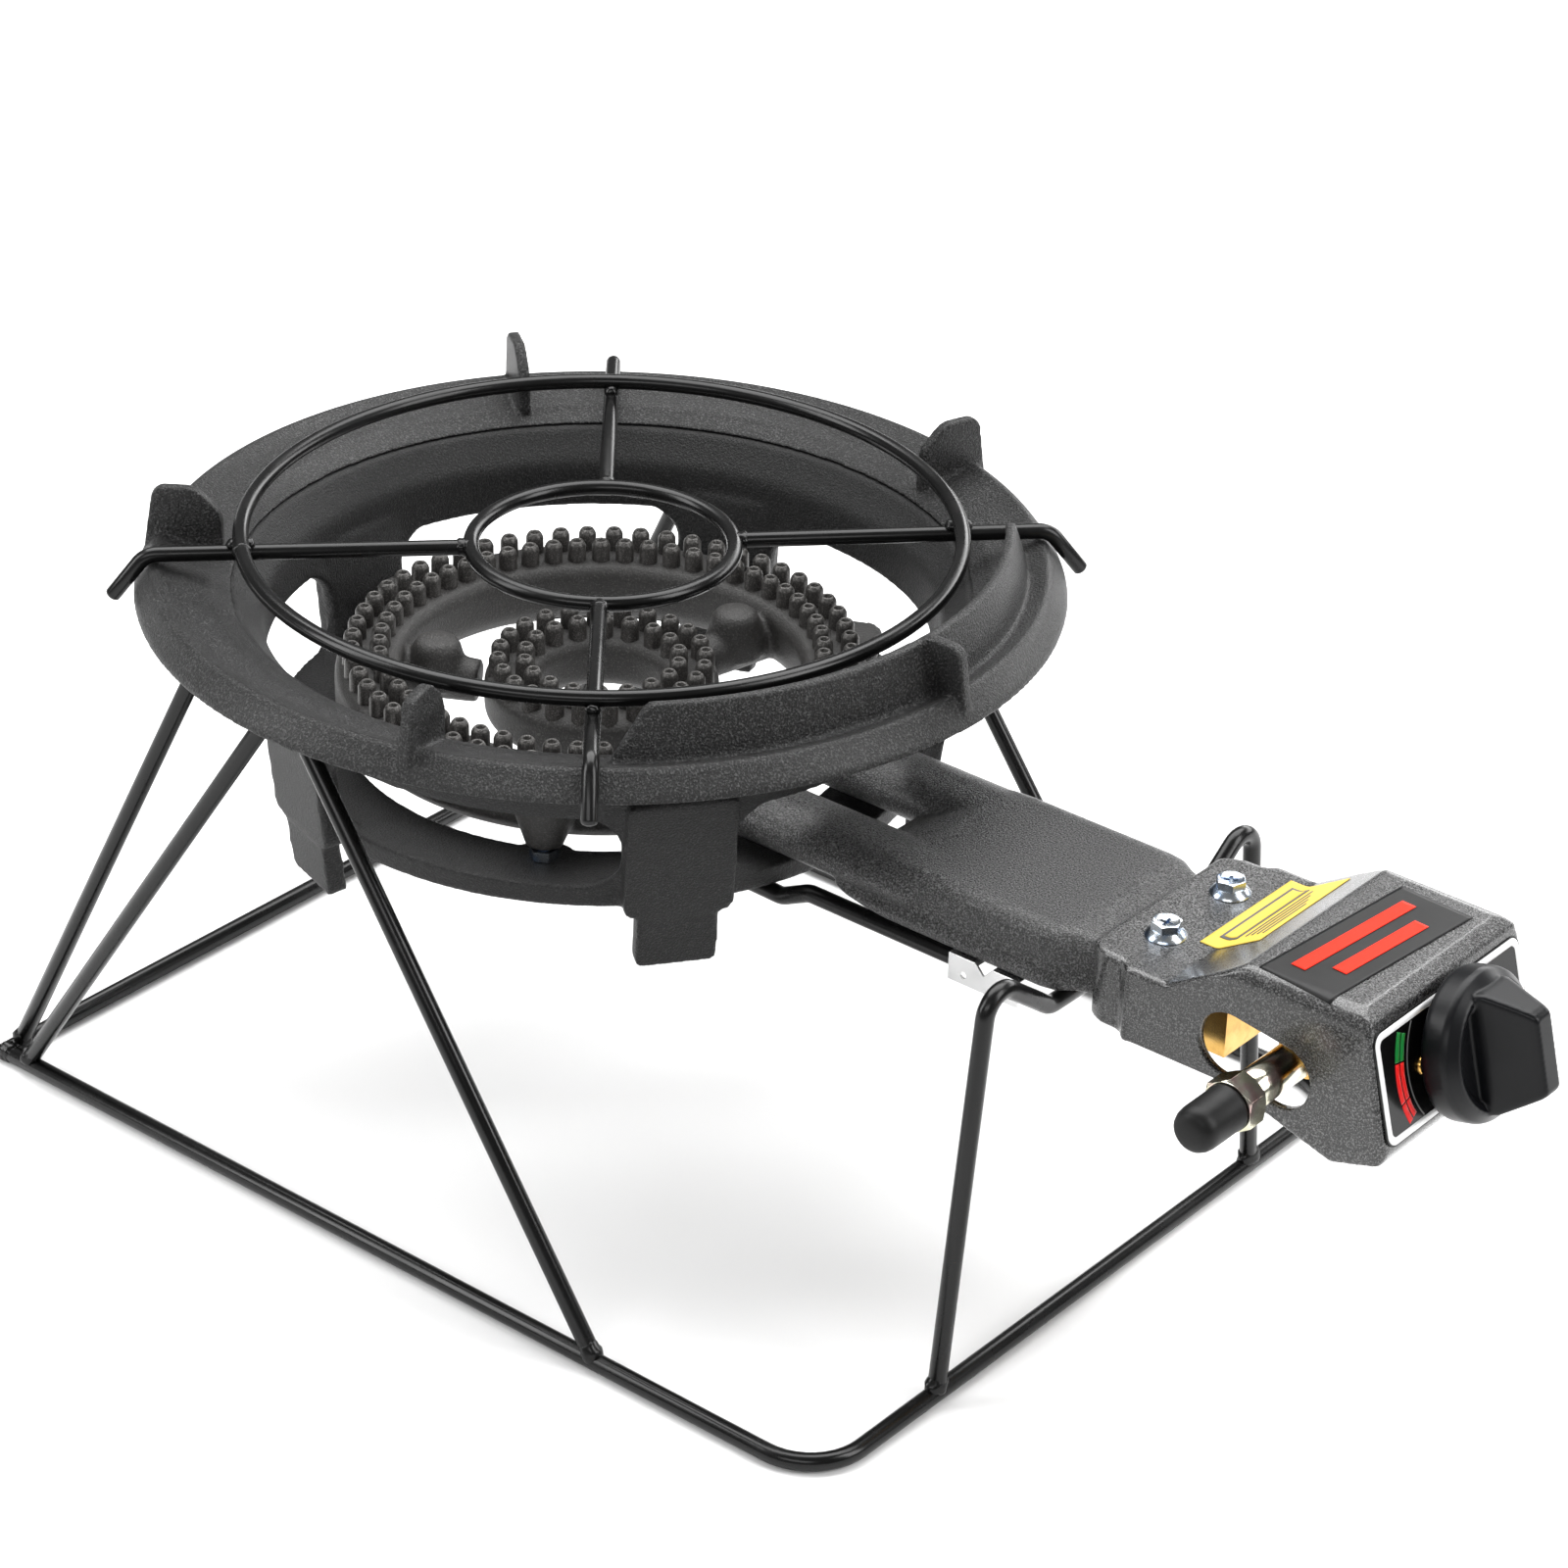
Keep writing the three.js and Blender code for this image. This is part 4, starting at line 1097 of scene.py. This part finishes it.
def build_bracket():
    """A folded strip with a notch in its upper edge holds the pilot tube under the handle."""
    section = ((-43.4, 135.5), (-42.2, 135.5), (-42.2, 145.5), (-26, 145.5), (-26, 146.7), (-43.4, 146.7))
    sheet = prism("pilot_bracket", section, 206, 238, OUTWARD)
    notch = prism("notch", ((217, 148), (222, 142.6), (227, 148)), 38, 48, SIDEWAYS)
    hole = rod("hole", (213, -50, 139.5), (213, -38, 139.5), 1.3, sides=24)
    cut(sheet, [notch, hole])
    eased(sheet, 0.35)
    finish_piece(sheet, "stove", "steel", ("pilot_tube_bracket",))


# ---------------------------------------------------------------- valve housing
WALL = 3.5
HOUSING_START = 266.0


def housing_solid(name, shrink, rounds):
    """The cover's outside, or its inside when shrunk by the wall."""
    s = shrink
    if shrink:
        side = (
            (HOUSING_START - 12, 90), (HOUSING_START - 12, 174 - s), (301.6, 174.4 - s),
            (331.6, 192.6 - s), (380 - s, 193 - s), (384 - s, 190 - s), (409 - s, 90),
        )
    else:
        side = (
            (HOUSING_START, 145), (HOUSING_START, 174.6), (303, 174.6), (333, 193.2),
            (379, 194), (385, 191), (396.8, 144), (395, 139.3), (376, 133.3), (332, 146),
        )
    body = prism(name, side, -66, 66, SIDEWAYS)
    neck = 44.2 - s
    half = 50.6 - s
    front = 398.4 - s
    start = HOUSING_START - 12 if s else HOUSING_START
    plan = softened((
        (start, -neck + 5, 1), (start + 7, -neck, 6), (283.5, -neck - 0.4, 3), (287.5, -half, 3.5),
        (front, -half, 11 - s), (front, half, 11 - s), (287.5, half, 3.5), (283.5, neck + 0.4, 3),
        (start + 7, neck, 6), (start, neck - 5, 1),
    ), 4, 5)
    low = 51.0 - s
    high = 47.4 - s
    top = 194 - s
    end = softened(((-low, 80, 0), (low, 80, 0), (high, top, 8), (-high, top, 8)), 8, 5)
    shared(body, [prism("plan", plan, 70, 230), prism("end", end, 220, 430, OUTWARD)])
    return cast(name, [body], 0.95, rounds)


def build_housing():
    outside = housing_solid("valve_cover", 0, 12)
    inside = housing_solid("hollow", WALL, 6)
    cut(outside, [inside])
    slot_place = Matrix.Translation((341.8, -50, 160)) @ Matrix.Rotation(math.radians(8), 4, "Y") @ SIDEWAYS
    slot = prism("slot", rounded_box(47, 25, 12.3, steps=10), -16, 16, slot_place)
    shaft = rod("shaft", (-20, 0, 0), (20, 0, 0), 6)
    shaft.data.transform(Matrix.Translation((ORIGIN_X * MM, 0, 0)))
    move = Matrix.Translation(in_frame((390.75, 0, 166.5))) @ Matrix.Rotation(FACE_TILT, 4, "Y")
    shaft.data.transform(move)
    cut(outside, [slot, shaft])
    finish_piece(outside, "stove", "housing", ("valve_housing",))
    return outside


ABOVE_COVER = 215.0


def laid_on(name, low, high, housing, lift, grid=(48, 24), turn=None):
    """A thin film pressed down on the cover from above. turn gives an angle and the point it turns about."""
    place = None
    if turn is not None:
        place = Matrix.Translation(turn[1]) @ about(turn[0]) @ Matrix.Translation(-Vector(turn[1]))
    points = []
    faces = []
    columns, rows = grid
    for r in range(rows + 1):
        for c in range(columns + 1):
            x = low[0] + (high[0] - low[0]) * r / rows
            y = low[1] + (high[1] - low[1]) * c / columns
            points.append((x, y, ABOVE_COVER))
    for r in range(rows):
        for c in range(columns):
            this = r * (columns + 1) + c
            faces.append((this, this + 1, this + columns + 2, this + columns + 1))
    film = mesh_piece(name, points, faces, place)
    if film.data.polygons[0].normal.z < 0:
        film.data.flip_normals()
    press = film.modifiers.new("press", "SHRINKWRAP")
    press.wrap_method = "PROJECT"
    press.use_project_z = True
    press.use_negative_direction = True
    press.use_positive_direction = False
    press.target = housing
    press.offset = lift * MM
    settled(film)
    thick = film.modifiers.new("thick", "SOLIDIFY")
    thick.thickness = 0.2 * MM
    thick.offset = 1
    return settled(film)


TOP_LABEL_TURN = (-5, (356, -4.5, 0))
RAMP_LABEL = {"low": (295.5, -16), "high": (320.0, 41.5)}


def build_labels(housing):
    turn = TOP_LABEL_TURN
    black = laid_on("top_label", (340.5, -44.0), (371.5, 35.5), housing, 0.1, turn=turn)
    finish_piece(black, "stove", "black_label", ("black_label",))
    for k, (x, start, end) in enumerate(((350.2, -35, 27), (361.8, -27, 19))):
        bar = laid_on(f"top_label_bar_{k}", (x - 3.0, start), (x + 3.0, end), housing, 0.36, turn=turn)
        finish_piece(bar, "stove", "orange_print")
    yellow = laid_on("ramp_label", RAMP_LABEL["low"], RAMP_LABEL["high"], housing, 0.1)
    finish_piece(yellow, "stove", "yellow_label", ("yellow_label",))
    box = laid_on("ramp_label_box", (299, -9), (306.4, 37), housing, 0.34, grid=(24, 12))
    finish_piece(box, "stove", "gray_print")
    field = laid_on("ramp_label_field", (300.2, -7.6), (305.2, 35.6), housing, 0.6, grid=(24, 8))
    finish_piece(field, "stove", "yellow_label")
    for k in range(4):
        x = 309 + 2.3 * k
        line = laid_on(f"ramp_label_line_{k}", (x, -8), (x + 0.6, 34 - 5 * k), housing, 0.34, grid=(24, 3))
        finish_piece(line, "stove", "gray_print")


def flat_band(name, outer, inner, low, high):
    """A flat ring between two outlines of equal length, on the end face."""
    count = len(outer)
    points = []
    for outline, height in ((outer, low), (outer, high), (inner, high), (inner, low)):
        points += [(x, y, height) for x, y in outline]
    faces = []
    for ring in range(4):
        this = ring * count
        following = ((ring + 1) % 4) * count
        for i in range(count):
            j = (i + 1) % count
            faces.append((this + i, this + j, following + j, following + i))
    return mesh_piece(name, points, faces, FACE @ OUTWARD)


def arc_band(name, radius_in, radius_out, start, end, low, high, steps=24):
    """A curved stripe on the end face. Angles run from straight up, towards the inlet's side."""
    outline = []
    for radius, order in ((radius_out, range(steps + 1)), (radius_in, range(steps, -1, -1))):
        for k in order:
            angle = math.radians(start + (end - start) * k / steps)
            outline.append((-radius * math.sin(angle), radius * math.cos(angle)))
    return prism(name, outline, low, high, FACE @ OUTWARD)


def circle(radius, steps=72):
    return [
        (radius * math.cos(2 * math.pi * k / steps), radius * math.sin(2 * math.pi * k / steps))
        for k in range(steps)
    ]


def build_panel():
    plate = prism("dial_plate", rounded_box(93, 43, 5, steps=8), 0.3, 1.1, FACE @ OUTWARD)
    eased(plate, 0.25, 2)
    finish_piece(plate, "stove", "panel", ("control_panel",))
    border = flat_band(
        "dial_border", rounded_box(91.6, 41.6, 4.6, steps=8), rounded_box(86.4, 36.4, 2.6, steps=8), 1.0, 1.22
    )
    finish_piece(border, "stove", "white_print")
    for label, start, end in (("right", 53, 127), ("left", -127, -53)):
        line = arc_band(f"dial_line_{label}", 29.0, 29.6, start, end, 1.0, 1.2)
        finish_piece(line, "stove", "gray_print")
    stripes = (
        ("green", "green_print", 62, 79),
        ("red_upper", "red_print", 80, 104),
        ("red_lower", "red_print", 105, 118),
    )
    for label, look, start, end in stripes:
        for side, inner, outer in (("inner", 31.4, 33.6), ("outer", 34.2, 36.6)):
            mark = arc_band(f"dial_{label}_{side}", inner, outer, start, end, 1.0, 1.2)
            finish_piece(mark, "stove", look)


def cross_head_screw(name, place, radius, height):
    outline = [
        (0.0, 0.0), (radius, 0.0), (radius, height * 0.35), (radius * 0.86, height * 0.75),
        (radius * 0.5, height), (0.0, height * 1.03),
    ]
    screw = capped_turn(name, outline, 40, place)
    for turn in (0, 90):
        low = (-radius * 0.62, -0.5, height * 0.45)
        high = (radius * 0.62, 0.5, height * 2)
        cut(screw, [block("arm", low, high, place @ about(turn))])
    eased(screw, 0.12, 2, 40)
    return screw


def build_panel_screws():
    for label, sign in (("right", -1), ("left", 1)):
        place = FACE @ Matrix.Translation((1.3, sign * 21, 0)) @ ALONG_X
        screw = cross_head_screw(f"dial_screw_{label}", place, 3.3, 2.0)
        finish_piece(screw, "stove", "brass", (f"panel_screw_{label}",))


def hexagon(across_flats):
    return circle(across_flats / math.sqrt(3), 6)


def build_housing_bolts():
    """Flanged hexagon bolts with a cross in the head."""
    for label, sign in (("right", -1), ("left", 1)):
        place = Matrix.Translation((283.6, sign * 20, 174.4)) @ about(12 * sign)
        flange = capped_turn("flange", (
            (0, 0), (7.5, 0), (7.7, 0.5), (7.3, 1.3), (6.2, 2.3), (5.4, 3.0), (0, 3.2),
        ), 64, place)
        head = prism("head", hexagon(10), 0.8, 6.4, place)
        dome = capped_turn("dome", (
            (0, -1), (7.5, -1), (7.5, 4.6), (6.2, 5.7), (4.8, 6.2), (3.9, 5.6), (0, 5.4),
        ), 64, place)
        shared(head, [dome])
        for turn in (20, 110):
            arm = block("arm", (-2.6, -0.6, 3.4), (2.6, 0.6, 8), place @ about(turn))
            cut(head, [arm])
        bolt = joined(f"cover_bolt_{label}", [flange, head])
        eased(bolt, 0.18, 2, 35)
        finish_piece(bolt, "stove", "zinc", (f"housing_bolt_{label}",))


# ---------------------------------------------------------------- knob, inlet and valve
# The knob's wedge grip, away from the face: distance, half thickness, lower and upper end.
GRIP_STATIONS = (
    (8, 10.6, -22.0, 22.6), (19, 9.8, -22.4, 23.2), (21, 9.4, -22.2, 23.0), (30, 6.9, -18.6, 19.4),
    (36.2, 5.4, -16.0, 16.8), (38.4, 4.7, -14.6, 15.4), (39.2, 3.9, -13.4, 14.2),
)


def build_knob():
    disc = (
        (0.0, 5.0), (4.3, 4.5), (25.8, 4.5), (27.2, 5.2), (27.6, 7.0), (27.6, 13.4), (27.0, 15.2),
        (23.8, 18.4), (22.6, 18.6), (20.8, 17.6), (19.2, 15.6), (0.0, 15.0),
    )
    body = capped_turn("disc", disc, 96, FACE @ ALONG_X)
    sections = []
    for reach, half, low, high in GRIP_STATIONS:
        outline = ((-half, low), (half, low), (half, high), (-half, high))
        sections.append((reach, softened(outline, min(2.2, half * 0.4))))
    grip = lofted("grip", sections, FACE @ OUTWARD)
    knob = cast("dial_knob", [body, grip], 0.55, 3)
    finish_piece(knob, "knob", "plastic", ("control_knob",))


def build_inlet():
    def along(y):
        return Matrix.Translation((350, y, 158)) @ Matrix.Rotation(math.radians(90), 4, "X")

    pipe = turned("gas_pipe", (
        (3.4, -10), (6, -10), (6, 0.4), (7.2, 1.0), (7.2, 34.5), (6.6, 35.2), (5.5, 36), (5.5, 57.2),
        (4.9, 57.8), (3.4, 57.8),
    ), 64, along(-30))
    finish_piece(pipe, "stove", "yellow_zinc", ("inlet_pipe",))
    nut = prism("union_nut", hexagon(18.8), 0, 9.7, along(-66.3) @ about(30))
    barrel = turned("barrel", (
        (5.8, -1), (9.0, -1), (9.6, 0.2), (11.4, 1.4), (11.4, 8.3), (9.6, 9.5), (9.0, 10.7), (5.8, 10.7),
    ), 72, along(-66.3))
    shared(nut, [barrel])
    eased(nut, 0.25, 2, 25)
    finish_piece(nut, "stove", "yellow_zinc", ("inlet_nut",))
    cap = capped_turn("rubber_cap", (
        (0, 4), (5.7, 4), (5.8, 0.2), (6.4, 0), (8.6, 0), (9.0, 0.5), (8.9, 1.5), (8.7, 2.2), (8.7, 16),
        (8.4, 18.4), (7.6, 20.4), (6.1, 21.7), (3.6, 22.4), (0, 22.6),
    ), 72, along(-76.3))
    finish_piece(cap, "cap", "rubber", ("inlet_cap",))


def dress_kept_nodes():
    """The small turned and milled parts keep their CAD shape and get eased edges."""
    kept = [(name, "brass", 0.5) for name in ("valve_body", "orifice_bar", "valve_stem")]
    for kind, count in (("ring_screw", 5), ("burner_bolt", 3), ("burner_nut", 3)):
        kept += [(f"{kind}_{k + 1}", "zinc", 0.3) for k in range(count)]
    for name, look, edge in kept:
        dress(nodes[name], look)
        eased(nodes[name], edge)


def build_floor():
    mesh = bpy.data.meshes.new("studio_floor")
    reach = 6.0
    mesh.from_pydata(
        [(-reach, -reach, 0), (reach, -reach, 0), (reach, reach, 0), (-reach, reach, 0)], [], [(0, 1, 2, 3)]
    )
    floor = new_piece("studio_floor", mesh)
    floor.location.z = -0.0002
    paper = bpy.data.materials.new("pale_paper")
    paper.use_nodes = True
    shader = paper.node_tree.nodes["Principled BSDF"]
    shader.inputs["Base Color"].default_value = (0.86, 0.86, 0.86, 1)
    shader.inputs["Roughness"].default_value = 0.75
    mesh.materials.append(paper)


set_camera()
studio()
build_floor()
build_stand()
build_grate()
build_pot_ring()
build_frame()
build_burners()
build_handle()
build_bracket()
cover = build_housing()
build_labels(cover)
build_panel()
build_panel_screws()
build_housing_bolts()
build_knob()
build_inlet()
dress_kept_nodes()
